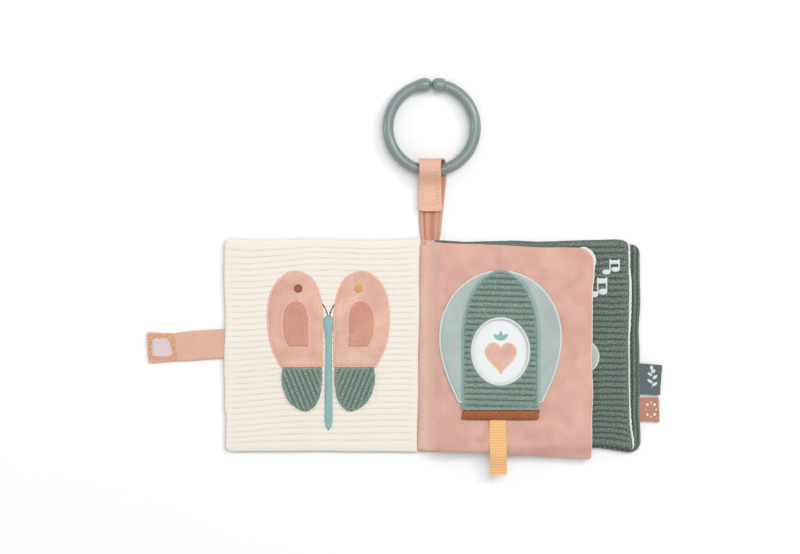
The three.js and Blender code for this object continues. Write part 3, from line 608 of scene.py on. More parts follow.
def patchPiece(name, loops, patch, pieceLooks):
    # A sewn-on cloth of any outline, rounded down to its edge, with ribs if it has them.
    patch = {**plainPatch, **patch}
    edges = [softened(evenLine(loop, patch["edgeStep"], True), patch["soften"]) for loop in loops]
    edges = [edge if (areaOf(edge) > 0) == (count == 0) else edge[::-1] for count, edge in enumerate(edges)]
    if patch["fuzz"]:
        draws = np.random.default_rng(patchForm["fuzzSeed"])
        edges[0] = edges[0] + sideOf(edges[0]) * draws.normal(0, patch["fuzz"], (len(edges[0]), 1))
    reach = patch["reach"]
    inner = []
    for inset in [share * reach for share in patchForm["insetShares"]]:
        ring = np.vstack([edge - sideOf(edge) * inset for edge in edges])
        inner.append(ring[distanceTo(ring, edges) > patchForm["insetKept"] * inset])
    ribs = patch.get("ribs")
    turn = math.radians(ribs["turn"]) if ribs else 0
    along, across = np.array([math.cos(turn), math.sin(turn)]), np.array([-math.sin(turn), math.cos(turn)])
    centre = edges[0].mean(axis=0)
    gridHalf = np.abs(edges[0] - centre).max() * patchForm["gridReach"]
    stepAcross = ribs["pitch"] / patchForm["ribCuts"] if ribs else patch["step"]
    us = np.arange(-gridHalf, gridHalf, patch["step"])
    vs = np.arange(-round(gridHalf / stepAcross), round(gridHalf / stepAcross) + 1) * stepAcross
    grid = (centre + us[None, :, None] * along + vs[:, None, None] * across).reshape(-1, 2)
    grid = grid[insideOf(grid, edges[:1])]
    inner = np.vstack([*inner, grid[distanceTo(grid, edges) > reach]])
    everything = np.vstack([*edges, inner[insideOf(inner, edges)]])
    links, start = [], 0
    for edge in edges:
        links += [(start + i, start + (i + 1) % len(edge)) for i in range(len(edge))]
        start += len(edge)
    # Output 1 keeps only the triangles within the outline, and the last number is the least distance.
    flatPoints, _, triangles, sources, _, _ = delaunay_2d_cdt([Vector(p) for p in everything], links, [], 1, 1e-6)
    xy = np.array([tuple(p) for p in flatPoints])
    onEdge = np.array([any(i < start for i in source) for source in sources])
    triangles = np.array([t for t in triangles if len(t) == 3])
    triangles = triangles[insideOf(xy[triangles].mean(axis=1), edges)]
    corner = xy[triangles]
    turned = np.cross(corner[:, 1] - corner[:, 0], corner[:, 2] - corner[:, 0]) < 0
    triangles[turned] = triangles[turned][:, ::-1]
    distance = distanceTo(xy, edges)
    distance[onEdge] = 0
    low, high = patch["low"], patch["high"]
    seam = low + patch["seamShare"] * (high - low)
    rise = roundedRise(distance, reach)
    topZ, lowZ = seam + (high - seam) * rise, seam - (seam - low) * rise
    groove = np.zeros(len(xy))
    # The ribs' groove share sinks the top and goes to the looks as painted shade in the grooves.
    if ribs:
        groove = grooveShare((xy - centre) @ across, ribs["pitch"], ribs["sharp"])
        groove = groove * smoothStep(*patchForm["ribsFade"], distance)
        topZ = topZ - ribs["depth"] * groove
    waves = unevenness(xy[:, 0], xy[:, 1], patch["seed"], patchForm["wavesAcross"])
    topZ = topZ + patch["waves"] * waves * smoothStep(*patchForm["wavesFade"], distance)
    under = np.column_stack([xy, lowZ])[~onEdge]
    lowIndex = np.arange(len(xy))
    lowIndex[~onEdge] = len(xy) + np.arange(len(under))
    faces = np.concatenate([triangles, lowIndex[triangles][:, ::-1]])
    faceLooks = np.repeat([0, len(pieceLooks) - 1], len(triangles))
    groove = np.concatenate([groove, np.zeros(len(under))])
    points = np.concatenate([np.column_stack([xy, topZ]), under])
    return meshPiece(name, points, faces, pieceLooks, faceLooks, None, groove, outward=False)


def archOver(piece, low, high, underside):
    # Part of a piece is lifted, so that another one can slide below it.
    for vertex in piece.data.vertices:
        x, y, z = vertex.co / mm
        if low[0] < x < high[0] and low[1] < y < high[1] and z < underside:
            vertex.co.z = underside * mm


beadForm = {"step": 0.55, "points": 7, "ripple": 0.07, "widthShare": 0.4}


def stitchedEdge(name, line, edge, look, body, closed=True):
    # A raised line of close stitches: a half-round bead whose threads lie across it.
    path = softened(evenLine(line, beadForm["step"], closed), edge.get("soften", 2), closed)
    turns = np.linspace(0, math.pi, beadForm["points"])
    ripple = beadForm["ripple"] * (np.arange(len(path)) % 2 * 2 - 1)
    half = edge["wide"] / 2 * (1 + beadForm["widthShare"] * ripple)
    offX = np.cos(turns)[None, :] * half[:, None]
    offZ = edge["base"] + np.sin(turns)[None, :] * (edge["high"] * (1 + ripple))[:, None]
    xy = path[:, None, :] + sideOf(path, closed)[:, None, :] * offX[..., None]
    points = np.concatenate([xy, offZ[..., None]], axis=2)
    flat = np.stack([np.repeat(runOf(path)[:, None], len(turns), 1), offX, offZ], axis=2)
    faces = tubeFaces(len(path), len(turns), closed)
    piece = meshPiece(name, points.reshape(-1, 3), faces, [look], None, flat.reshape(-1, 3))
    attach(piece, body)
    return piece


rimForm = {"step": 0.7, "soften": 3, "long": 160, "rippleAcross": 3, "ribs": (4.6, 1.2), "more": 1.1, "under": 0.4,
           "sides": 14}


def rolledRim(name, line, widths, rim, look):
    # The back cloth peeps out round the edge, by a width that changes along it.
    path = softened(evenLine(line, rimForm["step"], False), rimForm["soften"], False)
    share = np.linspace(0, 1, len(path))
    run = share * rimForm["long"]
    ripple = rim["ripple"] * unevenness(run, 0 * run, rim["seed"], rimForm["rippleAcross"])
    shown = np.interp(share, *widths) * (1 + ripple + rim["ribs"] * grooveShare(path[:, 1], *rimForm["ribs"]))
    half = (shown + rimForm["more"]) / 2
    turns = np.arange(rimForm["sides"]) * 2 * math.pi / rimForm["sides"]
    tall = np.minimum(half, rim["high"])
    offX = np.cos(turns)[None, :] * half[:, None] - half[:, None] + (shown - rimForm["under"])[:, None]
    offZ = np.sin(turns)[None, :] * tall[:, None] - rim["sink"]
    xy = path[:, None, :2] + sideOf(path[:, :2], False)[:, None, :] * offX[..., None]
    points = np.concatenate([xy, (path[:, 2, None] + offZ)[..., None]], axis=2)
    return meshPiece(name, points.reshape(-1, 3), tubeFaces(len(path), len(turns)), [look])


def tubePiece(name, path, radii, up, look, sides):
    # A round tube along a flat path, closed at both ends; up is square to the path.
    side = unit(np.cross(wayAlong(path), up))
    turns = np.arange(sides) * 2 * math.pi / sides
    ring = side[:, None, :] * np.cos(turns)[None, :, None] + up[None, None, :] * np.sin(turns)[None, :, None]
    points = path[:, None, :] + ring * radii[:, None, None]
    return meshPiece(name, points.reshape(-1, 3), tubeFaces(len(path), sides), [look])


plainStrip = {"soften": 0, "middles": 0, "sewn": (), "dip": 0, "folds": (), "cup": 0, "waves": 0, "seed": 5,
              "sideways": 0, "slants": 0, "tipRound": 0}
stripForm = {
    "edges": (0.95, 0.985, 1), "inner": 0.88, "columns": 17, "roundFrom": 0.9, "flattened": 0.97, "sewnWide": 0.07,
    "foldShare": 0.3, "wavesAcross": 16, "wavesFade": 6, "tipLong": 8, "tipPower": 6, "cap": 0.03,
}


def stripPiece(name, line, width, strip, look):
    # A flat strip of cloth that follows a line; width is the direction across it.
    strip = {**plainStrip, **strip}
    line = softened(evenLine(line, strip["step"], False), strip["soften"], False)
    width = np.asarray(width, float)
    along = wayAlong(line)
    normal = unit(np.cross(width[None, :], along))
    run = runOf(line)
    share = np.linspace(0, 1, len(line))
    half, middle, slant = (np.interp(share, strip["shares"], np.broadcast_to(strip[key], len(strip["shares"])))
                           for key in ("halves", "middles", "slants"))
    outer, inner = np.array(stripForm["edges"]), stripForm["inner"]
    across = np.concatenate([-outer[::-1], np.linspace(-inner, inner, stripForm["columns"]), outer])
    roundFrom = stripForm["roundFrom"]
    rounded = np.clip((np.abs(across) - roundFrom) / (1 - roundFrom), 0, 1) ** 2 * stripForm["flattened"]
    thick = strip["thick"] / 2 * np.sqrt(1 - rounded)
    dips, pleatShade = np.zeros_like(across), np.zeros_like(across)
    for place in strip["sewn"]:
        dips = dips + strip["dip"] * np.exp(-((across - place) / stripForm["sewnWide"]) ** 2)
    # Each fold is a hump in the cloth, and its share is stored as the groove that darkens the tone there: painted
    # shade in the pleat.
    for place, spread, depth in strip["folds"]:
        hump = depth * np.exp(-((across - place) / spread) ** 2)
        dips, pleatShade = dips + strip["thick"] * stripForm["foldShare"] * hump, pleatShade + hump
    offsets = half[:, None] * across[None, :]
    wave = strip["waves"] * unevenness(run[:, None], offsets, strip["seed"], stripForm["wavesAcross"])
    wave = wave * smoothStep(0, stripForm["wavesFade"], np.minimum(run, run[-1] - run))[:, None]
    nearTip = smoothStep(run[-1] - stripForm["tipLong"], run[-1], run)[:, None]
    tipRound = strip["tipRound"] * nearTip * np.abs(across[None, :]) ** stripForm["tipPower"]
    points = line[:, None, :] + width * (middle[:, None] + offsets)[..., None]
    points = points + along[:, None, :] * (slant[:, None] * across[None, :] - tipRound)[..., None]
    sideways = strip["sideways"] * np.sin(math.pi * share)  # a fold that isn't square to its strip
    points[..., 0] += sideways[:, None] * across[None, :]
    curved = strip["cup"] * across ** 2 + wave
    upper, lower = (points + normal[:, None, :] * (side * (thick - dips) + curved)[..., None] for side in (1, -1))
    section = np.concatenate([upper, lower[:, ::-1]], axis=1)
    cap = stripForm["cap"]
    section = np.concatenate([section[:1] - cap * along[0], section, section[-1:] + cap * along[-1]])
    rings, sides = section.shape[:2]
    runs, halves = (np.concatenate([values[:1], values, values[-1:]]) for values in (run, half))
    flatAcross = np.concatenate([across, across[::-1]])[None, :] * halves[:, None]
    flat = np.stack([flatAcross, np.repeat(runs[:, None], sides, 1), np.zeros((rings, sides))], axis=2)
    groove = np.clip(np.tile(np.concatenate([pleatShade, pleatShade[::-1]]), rings), 0, 1)
    piece = meshPiece(name, section.reshape(-1, 3), tubeFaces(rings, sides), [look], None, flat.reshape(-1, 3),
                      groove, outward=False)
    return piece, {"line": line, "normal": normal, "half": half, "middle": middle, "run": run, "width": width}


stitchForm = {
    "seed": 31, "shape": ((-1, 0.25), (-0.8, 0.8), (-0.3, 1), (0.3, 1), (0.8, 0.8), (1, 0.25)), "sink": 0.1,
    "rise": 0.9, "bendPower": 4, "tall": 0.8, "turnShare": 1.2, "threadStep": 0.3,
}
sixth = [k * math.pi / 3 for k in range(6)]


def stitchRows(name, rows, look, long, gap, radius, stray=0.0):
    # Each row is (points, normals); every stitch is a small rounded thread laid along it.
    points, faces, flats = [], [], []
    draws = np.random.default_rng(stitchForm["seed"])
    for line, normals in rows:
        lengths = runOf(line)
        for start in np.arange(gap / 2, lengths[-1] - long, long + gap):
            where = np.interp(start + long / 2, lengths, np.arange(len(line)))
            i = min(int(where), len(line) - 2)
            way = line[i + 1] - line[i]
            middle = line[i] + (where - i) * way
            way = way / np.linalg.norm(way)
            up = normals[i] / np.linalg.norm(normals[i])
            side = np.cross(way, up)
            middle = middle + side * draws.normal(0, stray)
            way = way + side * draws.normal(0, stitchForm["turnShare"] * stray)
            way = way / np.linalg.norm(way)
            side = np.cross(way, up)
            faces += tubeFaces(len(stitchForm["shape"]), len(sixth), first=len(points))
            for shift, size in stitchForm["shape"]:
                lift = radius * stitchForm["rise"] * (1 - shift ** stitchForm["bendPower"]) - stitchForm["sink"]
                for k, angle in enumerate(sixth):
                    rise = lift + radius * size * stitchForm["tall"] * math.sin(angle)
                    aside = radius * size * math.cos(angle)
                    points.append(middle + way * shift * long / 2 + up * rise + side * aside)
                    flats.append((start + shift * long / 2, k * stitchForm["threadStep"], 0))
    return meshPiece(name, points, faces, [look], None, flats)


threadForm = {"tip": 0.45, "lineStep": 0.37, "threadStep": 0.2}


def threadPiece(name, lines, radius, look):
    # Single threads, each a thin six-sided tube along its own line.
    points, faces, flats = [], [], []
    for line in lines:
        along = wayAlong(line)
        side = unit(np.cross(along, [0, 0, 1.0]))
        up = np.cross(side, along)
        first = len(points)
        faces += tubeFaces(len(line), len(sixth), first=first)
        for i, spot in enumerate(line):
            size = radius * (threadForm["tip"] if i in (0, len(line) - 1) else 1)
            for k, angle in enumerate(sixth):
                points.append(spot + side[i] * size * math.cos(angle) + up[i] * size * math.sin(angle))
                flats.append((i, first * threadForm["lineStep"] + k * threadForm["threadStep"], 0))
    return meshPiece(name, points, faces, [look], None, flats)


def rowOn(made, across, start, end, lift):
    # A line on a strip's upper face, at a share of its half width, between two distances along it.
    places = np.linspace(start, end, max(3, int(abs(end - start))))
    line, normal = (np.stack([np.interp(places, made["run"], made[key][:, i]) for i in range(3)], axis=1)
                    for key in ("line", "normal"))
    half, middle = (np.interp(places, made["run"], made[key]) for key in ("half", "middle"))
    return line + made["width"] * (middle + half * across)[:, None] + normal * lift, normal


def rowAcross(made, place, reach, lift):
    rows = [rowOn(made, share, place, place + 0.3, lift) for share in np.linspace(-reach, reach, 16)]
    return np.array([row[0][0] for row in rows]), np.array([row[1][0] for row in rows])


def roundLine(count):
    turns = np.linspace(0, 2 * math.pi, count + 1)[:-1]
    return np.stack([np.cos(turns), np.sin(turns)], axis=1)


def leafLine(start, turn, long, wide, count):
    # The outline of a pointed leaf, which leans by so many degrees to the right.
    way = np.array([math.sin(math.radians(turn)), math.cos(math.radians(turn))])
    off = np.array([way[1], -way[0]])
    share = np.linspace(0, 1, count)
    swell = (wide / 2 * np.sin(math.pi * share) ** 0.8)[:, None]
    vein = start + way * (share * long)[:, None]
    return np.concatenate([vein + off * swell, (vein - off * swell)[::-1][1:-1]])


def stand(piece, slot, *nodes, body=None):
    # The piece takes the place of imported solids, and rides one body if it doesn't bend between two.
    if body:
        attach(piece, body)
    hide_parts(*nodes)


def bend(piece):
    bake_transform(piece)


def sewnPad(name, nodes, pad, pieceLooks, slot, left=None):
    # A pad as large as the cloths that it stands for, unless it goes on further to the left.
    # It comes with the line of its fore edge and the height of its top.
    low, high = boxOf(*nodes)
    low[0] = low[0] if left is None else left
    piece, foreEdge = padPiece(name, low, high, pad, pieceLooks)
    stand(piece, slot, *nodes)
    return piece, foreEdge, high[2]


def sewnPatch(name, node, patch, look, slot, body, loops=None):
    # A patch in the outline of its solid, or in an outline of its own.
    piece = patchPiece(name, outlinesOf(node) if loops is None else loops, patch, [look])
    stand(piece, slot, node, body=body)
    return piece


def extraPatch(name, line, patch, look, body):
    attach(patchPiece(name, [line], patch, [look]), body)


print("tools ready")


# Front cover: cream page inside, green corduroy outside

coverRibs = {"pitch": 3.8, "depth": 0.45, "upright": True, "sharp": 2.2, "cuts": 6, "edgeShare": 0.5}
frontCover = {
    "corners": (5, 1.5, 1.5, 5), "seam": 2.4, "reach": 4.4, "draw": 0.7, "wander": 0.45, "crown": 0.3,
    "waves": 0.14, "wavesAcross": 55, "seed": 11, "sway": 0.35, "slope": 0.006, "climb": (3.8, -84, 0), "notch": 0.4,
    "sides": {"left": ((-54, -44), (1.9, 0)), "right": ((-80, 0, 80), (-0.4, 1.2, 1.2)),
              "top": ((-155, -139, -93, -47, -32, -14), (0.6, -0.5, 1.3, -0.2, 0.1, 1.0))},
    "topRibs": {"pitch": 4.6, "depth": 0.42, "upright": False, "sharp": 5.0, "edgeShare": 0.1, "wobble": 0.16,
                "patchy": 0.35},
    "lowRibs": coverRibs,
}
piece, _, pageTop = sewnPad("frontCover", ("cream_page_cloth", "front_cover_outer_cloth"), frontCover,
                            ["creamCorduroy", "greenCorduroy"], "cream_corduroy")
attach(piece, "front_cover")

# Back cover: upright ribs on both faces, with a sunk place for the loop patch on its outside

loopLow, loopHigh = boxOf("closure_loop_patch")
loopPlace = {"room": 0.5, "slack": 0.6, "floor": 0.7}


def pastBox(x, y, low, high):
    # How far a place lies outside a box in the plane, less than nothing if it lies inside.
    return np.maximum(np.maximum(low[0] - x, x - high[0]), np.maximum(low[1] - y, y - high[1]))


def sunkForLoop(x, y, z):
    past = pastBox(x, y, loopLow - loopPlace["room"], loopHigh + loopPlace["room"])
    return np.where(past < loopPlace["slack"], np.maximum(z, loopPlace["floor"]), z)


backCover = {
    "corners": (1.5, 8, 8, 0.5), "seam": 2.05, "reach": 3.0, "draw": 0.6, "wander": 0.35, "waves": 0.05, "seed": 21,
    "sides": {"bottom": ((128, 137, 143, 149), (2.6, 1.6, 0.8, 0))},
    "topRibs": {**coverRibs, "depth": 0.9, "edgeShare": 1.0}, "lowRibs": coverRibs, "lowShape": sunkForLoop,
}
piece, _, _ = sewnPad("backCover", ("back_page_cloth", "back_cover_outer_cloth"), backCover,
                      ["greenCorduroy", "greenCorduroy"], "green_corduroy")
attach(piece, "back_cover")

# Spine: the same green outside, a pink lining inside, and the soft roll in the gutter

spinePad = {
    "corners": (1.2, 1.2, 0.4, 1.2), "seam": 1.9, "reach": 2.2, "draw": 0.0, "wander": 0.0,
    "ends": (0, 0.12, 0.4, 0.85, 1.5), "waves": 0.03, "seed": 31, "step": 1.6, "lowRibs": coverRibs,
    "rim": lambda x, y: np.where((y > 79.2) & (x > 1.5), 9, -1),
    "cornerMoves": ((0, 0), (0, 0), (1.1, -0.5), (0, 0)),
}
piece, _, _ = sewnPad("spine", ("spine_outer_cloth", "spine_lining"), spinePad, ["spineLining", "greenCorduroy"],
                      "green_corduroy")
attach(piece, "spine")

gutter = {
    "left": -10.2, "lean": 0.85, "right": -0.8, "floor": 2.0, "wander": 0.1, "wanderAcross": 30, "more": 2.3,
    "steps": 110, "endStart": 0.05, "endReach": 1.6, "ripple": 0.03, "rippleAcross": 16, "seeds": (41, 42),
    "section": (  # share of the width, and of the height
        (0, 0), (0.0, 0.2), (0.03, 0.37), (0.08, 0.56), (0.14, 0.71), (0.22, 0.83), (0.32, 0.91), (0.44, 0.94),
        (0.56, 0.95), (0.68, 0.93), (0.8, 0.86), (0.9, 0.7), (1, 0.4), (1, 0), (0.85, 0), (0.7, 0), (0.55, 0),
        (0.4, 0), (0.25, 0), (0.12, 0)),
    "bendFrom": -6.5, "bendTo": -9.8,
}
low, high = boxOf("gutter_roll")
rollY = np.linspace(low[1] - gutter["more"], high[1], gutter["steps"])
fromEnds = np.minimum(rollY - rollY[0], rollY[-1] - rollY) + gutter["endStart"]
wandering, rippling = (unevenness(rollY, 0 * rollY, seed, across)
                       for seed, across in zip(gutter["seeds"], (gutter["wanderAcross"], gutter["rippleAcross"])))
rollLeft = (gutter["left"] + gutter["lean"] * rollY / high[1] + gutter["wander"] * wandering)[:, None]
rollTop = (high[2] - gutter["floor"]) * roundedRise(fromEnds, gutter["endReach"]) * (1 + gutter["ripple"] * rippling)
acrossRoll, upRoll = np.array(gutter["section"]).T
points = np.stack([rollLeft + (gutter["right"] - rollLeft) * acrossRoll, np.repeat(rollY[:, None], len(upRoll), 1),
                   gutter["floor"] + rollTop[:, None] * upRoll], axis=2)
roll = meshPiece("gutterRoll", points.reshape(-1, 3), tubeFaces(gutter["steps"], len(upRoll)), ["peachLining"])
bend(roll)
stand(roll, "peach_cotton", "gutter_roll")
print("covers and spine made")

# Green leaf, with the white back cloth showing along its fore edge

greenRoot = {"from": 10.5, "to": 20.5, "sunk": 1.25, "thin": 0.28, "seam": 6.2, "further": 2.8, "bendTo": 15.5}


def sinkGreenRoot(x, y):
    share = 1 - smoothStep(greenRoot["from"], greenRoot["to"], x)
    return greenRoot["seam"] - greenRoot["sunk"] * share, 1 - (1 - greenRoot["thin"]) * share


greenLeaf = {
    "settle": sinkGreenRoot, "corners": (1.5, 1.8, 5, 0.8), "seam": greenRoot["seam"], "reach": 4.5, "draw": 0.5,
    "wander": 0.5, "waves": 0.16, "seed": 51, "sway": 0.45, "notch": 0.3,
    "cornerMoves": ((0, 0), (2.4, -0.6), (0.6, 1.2), (0, 1.4)),
    "topRibs": {"pitch": 4.6, "depth": 0.6, "upright": False, "sharp": 2.3, "edgeShare": 0.5, "wobble": 0.24},
    "sides": {"right": ((-73, -60, -42, -15, 4, 18, 40, 49, 56, 75),
                        (0.1, -1.2, -1.2, -1.4, -2.6, -2.1, -0.3, -0.3, -0.8, -1.4)),
              "bottom": ((128, 137, 143, 149), (3.6, 2.7, 2.0, 0.8)),
              "top": ((12, 25, 40, 60, 80, 104, 128, 141, 147), (-0.8, -1.0, 0, 0, -1.0, 0.1, 0.5, 1.2, 0.6))},
}
greenRim = {"high": 0.8, "ripple": 0.07, "ribs": -0.1, "seed": 54, "sink": 0.1}
greenWidths = ((0, 0.03, 0.13, 0.25, 0.45, 0.55, 0.62, 0.78, 0.86, 0.97, 1),
               (0.5, 1.6, 1.7, 1.2, 1.2, 1.5, 2.1, 2.2, 1.4, 1.6, 0.6))
greenNodes = ("notes_page_cloth", "green_leaf_back_cloth")
greenLeft = boxOf(*greenNodes)[0][0] - greenRoot["further"]
piece, foreEdge, greenTop = sewnPad("greenLeaf", greenNodes, greenLeaf, ["greenCorduroy", "whiteBack"],
                                    "green_corduroy", greenLeft)
bend(piece)
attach(rolledRim("greenLeafRim", foreEdge, greenWidths, greenRim, "whiteBack"), "green_leaf")

notes = {"low": greenTop - 0.25, "reach": 0.8, "step": 0.9, "edgeStep": 0.45, "soften": 1}
for node in ("note_pair_upper", "note_pair_lower"):
    note = {**notes, "high": boxOf(node)[1][2] + 0.3}
    sewnPatch(node + "_stitched", node, note, "whiteThread", "white_cotton", "green_leaf")

roundPatch = {"low": greenTop - 0.3, "high": boxOf("round_patch")[1][2], "reach": 1.6, "step": 1.2, "waves": 0.05}
roundEdge = {"wide": 1.7, "high": 0.95, "base": greenTop - 0.3}
loops = outlinesOf("round_patch")
sewnPatch("roundPatch", "round_patch", roundPatch, "palePatchVelvet", "grey_blue_velvet", "green_leaf", loops)
stitchedEdge("roundPatchEdge", loops[0], roundEdge, "paleThread", "green_leaf")

# Pink leaf: velvet that runs down into the gutter, on the tape that joins it to the back cover

pinkRoot = {"tip": -5.6, "flatFrom": 10.0, "seam": 11.0, "tipZ": 5.75, "tipThin": 0.14, "thinPower": 1.5,
            "mostShare": 1.05, "bendTo": 8}
pinkDroop = {"depth": 4.6, "from": -75.0, "within": 9, "left": 15, "right": 95}


def sinkAtRoot(x, y):
    # The leaf thins and comes down into the gutter along its root, and droops past the leaf below.
    share = np.clip((pinkRoot["flatFrom"] - x) / (pinkRoot["flatFrom"] - pinkRoot["tip"]), 0, pinkRoot["mostShare"])
    sunk = pinkRoot["seam"] - (pinkRoot["seam"] - pinkRoot["tipZ"]) * share ** 2 * (3 - 2 * np.minimum(share, 1))
    past = smoothStep(0, 1, (pinkDroop["from"] - y) / pinkDroop["within"])
    droop = pinkDroop["depth"] * past * smoothStep(pinkDroop["left"], pinkDroop["right"], x)
    return sunk - droop, 1 - (1 - pinkRoot["tipThin"]) * share ** pinkRoot["thinPower"]


cardLow, cardHigh = boxOf("window_card")
cardPath = ((cardLow[0] - 0.6, boxOf("basket_bar")[0][1] - 3), (cardHigh[0] + 0.6, cardLow[1] - 8))
pinkFlat = {"below": 0.3, "above": 0.1, "grow": 0.12}


def keepBelowCard(x, y, z):
    # The velvet's waves stay low where the card slides over them.
    past = np.maximum(pastBox(x, y, cardPath[0], (cardPath[1][0], cardHigh[1] + 1)), 0)
    return np.minimum(z, cardLow[2] - pinkFlat["below"] + pinkFlat["above"] + pinkFlat["grow"] * past)


pinkLeaf = {
    "topShape": keepBelowCard, "corners": (1.5, 2.5, 12, 1.5), "seam": pinkRoot["seam"], "reach": 5.5, "draw": 0.5,
    "wander": 0.55, "waves": 0.55, "deepest": 0.75, "wavesAcross": 22, "seed": 63, "step": 1.5, "settle": sinkAtRoot,
    # the velvet is painted lighter towards the gutter, as painted light
    "wrap": 12, "paintedLightFade": lambda x, y: 1 - smoothStep(-5, 9 + 4 * y / 80, x),
    "sides": {"right": ((-75, -15, 4, 35, 50, 56, 64), (0, -0.5, -2.3, -2.7, -2.3, -1.8, -2.8)),
              "top": ((3, 12, 30, 42, 67, 90, 113, 122), (0.6, 0.3, -0.6, -1.6, -1.2, -1.4, -1.1, -1.3)),
              "bottom": ((3, 12, 22, 30, 40, 67, 76, 94, 113), (1.1, 0.9, 0.5, 0, -0.9, -1.1, -0.5, -1.5, -1.6))},
    "cornerMoves": ((0.6, 1.6), (-3.4, -2.4), (1.4, -2.8), (0.6, 0.4)),
}
pinkRim = {"high": 0.7, "ripple": 0.07, "ribs": 0, "seed": 66, "sink": 0.2}
pinkWidths = ((0, 0.04, 0.5, 0.86, 0.9, 0.93, 0.965, 0.985, 1), (0.3, 0.8, 0.9, 1.1, 2.2, 2.9, 2.6, 1.5, 0.1))
piece, foreEdge, pinkTop = sewnPad("pinkLeaf", ("pink_page_cloth", "pink_leaf_back_cloth"), pinkLeaf,
                                   ["pinkVelvet", "whiteBack"], "pink_velvet", pinkRoot["tip"])
bend(piece)
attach(rolledRim("pinkLeafRim", foreEdge, pinkWidths, pinkRim, "creamBack"), "pink_leaf")

tapeLow, tapeHigh = boxOf("leaf_binding_tape")
gusset = {
    "thick": 0.8, "shares": (0, 1), "halves": (78.5, 78.0), "step": 0.8, "soften": 2, "middleY": -1.6,
    "side": [(11.4, 3.0), (10.2, 4.4), (8.2, 6.8), (5.0, 8.0), (tapeLow[0] + 1.5, tapeHigh[2] - 1.4)],
    "bendFrom": (10.8, 0, 4), "bendTo": (4.5, 0, 8.4),
}
gussetPath = [(x, gusset["middleY"], z) for x, z in gusset["side"]]
piece, _ = stripPiece("leafGusset", gussetPath, (0, 1, 0), gusset, "peachLining")
bend(piece)
stand(piece, "pink_velvet", "leaf_binding_tape")
print("leaves made")


# Butterfly on the cream page

wings = {"low": pageTop - 0.4, "reach": 2.4, "step": 1.5, "waves": 0.1, "seed": 7}
wingEdge = {"wide": 2.2, "high": 1.6, "base": pageTop - 0.5}
panelEdge = {"wide": 1.9, "high": 1.9, "base": pageTop + 0.1}
wingFlap = {
    "reach": 2.6, "step": 1.8, "seamShare": 0.4, "fuzz": 0.16, "thicker": 0.35, "bendFrom": 0.4, "bendTo": -3.5,
    "ribs": {"pitch": 3.7, "depth": 0.55, "sharp": 2.0}, "ribsTurn": 22,
}
for side, sign, spotLook, spotSlot in (("left", -1, "brownThread", "brown_thread"),
                                       ("right", 1, "ochreThread", "ochre_thread")):
    wingNode, panelNode, spotNode = f"{side}_upper_wing", f"{side}_wing_panel", f"{side}_wing_spot"
    wingLoops, panelLoops, wingTop = outlinesOf(wingNode), outlinesOf(panelNode), boxOf(wingNode)[1][2]
    wing = {**wings, "high": wingTop + 0.1}
    panel = {**wings, "low": wingTop - 0.8, "high": wingTop + 0.5, "seed": 9}
    spot = {"low": wingTop - 0.4, "high": boxOf(spotNode)[1][2] + 0.1, "reach": 1.6, "step": 0.9, "edgeStep": 0.5}
    sewnPatch(f"{side}UpperWing", wingNode, wing, "wingVelvet", "pink_velvet", "front_cover", wingLoops[:1])
    sewnPatch(f"{side}WingPanel", panelNode, panel, "rosePanel", "rose_panel", "front_cover", panelLoops)
    stitchedEdge(f"{side}WingEdge", wingLoops[0], wingEdge, "peachThread", "front_cover")
    stitchedEdge(f"{side}PanelEdge", panelLoops[0], panelEdge, "peachThread", "front_cover")
    sewnPatch(f"{side}WingSpot", spotNode, spot, spotLook, spotSlot, "front_cover")

    # A loose corduroy flap, sewn only along its upper end
    flapNodes = (f"{side}_lower_wing_front", f"{side}_lower_wing_backing")
    flapLow, flapHigh = boxOf(*flapNodes)
    flap = {**wingFlap, "low": flapLow[2], "high": flapHigh[2] + wingFlap["thicker"],
            "ribs": {**wingFlap["ribs"], "turn": 90 - sign * wingFlap["ribsTurn"]}}
    lower = patchPiece(f"{side}LowerWing", outlinesOf(flapNodes[0]), flap, ["paleGreenCorduroy", "whiteCotton"])
    bend(lower)
    stand(lower, "pale_green_corduroy", *flapNodes)

bodyLow, bodyHigh = boxOf("butterfly_body")
bodyShape = {"low": pageTop - 0.4, "high": bodyHigh[2] + 0.7, "reach": 2.6, "step": 1.0, "edgeStep": 0.5, "soften": 1}
sewnPatch("butterflyBody", "butterfly_body", bodyShape, "aquaThread", "aqua_thread", "front_cover",
          outlinesOf("butterfly_body")[:1])

feeler = {"off": 0.8, "reach": 12.5, "reachPower": 1.4, "rise": 13.0, "rootIn": 0.6, "curl": 1.12, "tip": 1.3}
feelerEdge = {"wide": 1.1, "high": 1.15, "base": pageTop - 0.45}
knobShape = {"low": pageTop - 0.4, "high": pageTop + 0.6, "reach": 1.1, "step": 0.6, "edgeStep": 0.4, "soften": 0}
share = np.linspace(0, 1, 24)
for side, sign in (("left", -1), ("right", 1)):
    out = feeler["off"] + feeler["reach"] * share ** feeler["reachPower"]
    up = feeler["rise"] * np.sin(share * math.pi / 2 * feeler["curl"]) - feeler["rootIn"]
    line = np.stack([(bodyLow[0] + bodyHigh[0]) / 2 + sign * out, bodyHigh[1] + up], axis=1)
    stitchedEdge(f"{side}Feeler", line, feelerEdge, "darkThread", "front_cover", closed=False)
    knobLine = line[-1] + feeler["tip"] * roundLine(16)
    extraPatch(f"{side}FeelerTip", knobLine, knobShape, "darkThread", "front_cover")
print("butterfly made")


# Balloon on the pink leaf: velvet gores, a corduroy panel with its window, the card behind it, bar and ribbon

gores = {"low": pinkTop - 0.4, "high": boxOf("right_gore")[1][2] + 0.3, "reach": 2.6, "step": 1.6, "waves": 0.12,
         "seed": 15}
goreEdge = {"wide": 2.0, "high": 1.75, "base": pinkTop - 0.2}
for side in ("left", "right"):
    node = f"{side}_gore"
    loops = outlinesOf(node)
    sewnPatch(f"{side}Gore", node, gores, "greyBlueVelvet", "grey_blue_velvet", "pink_leaf", loops[:1])
    stitchedEdge(f"{side}GoreEdge", loops[0], goreEdge, "paleThread", "pink_leaf")

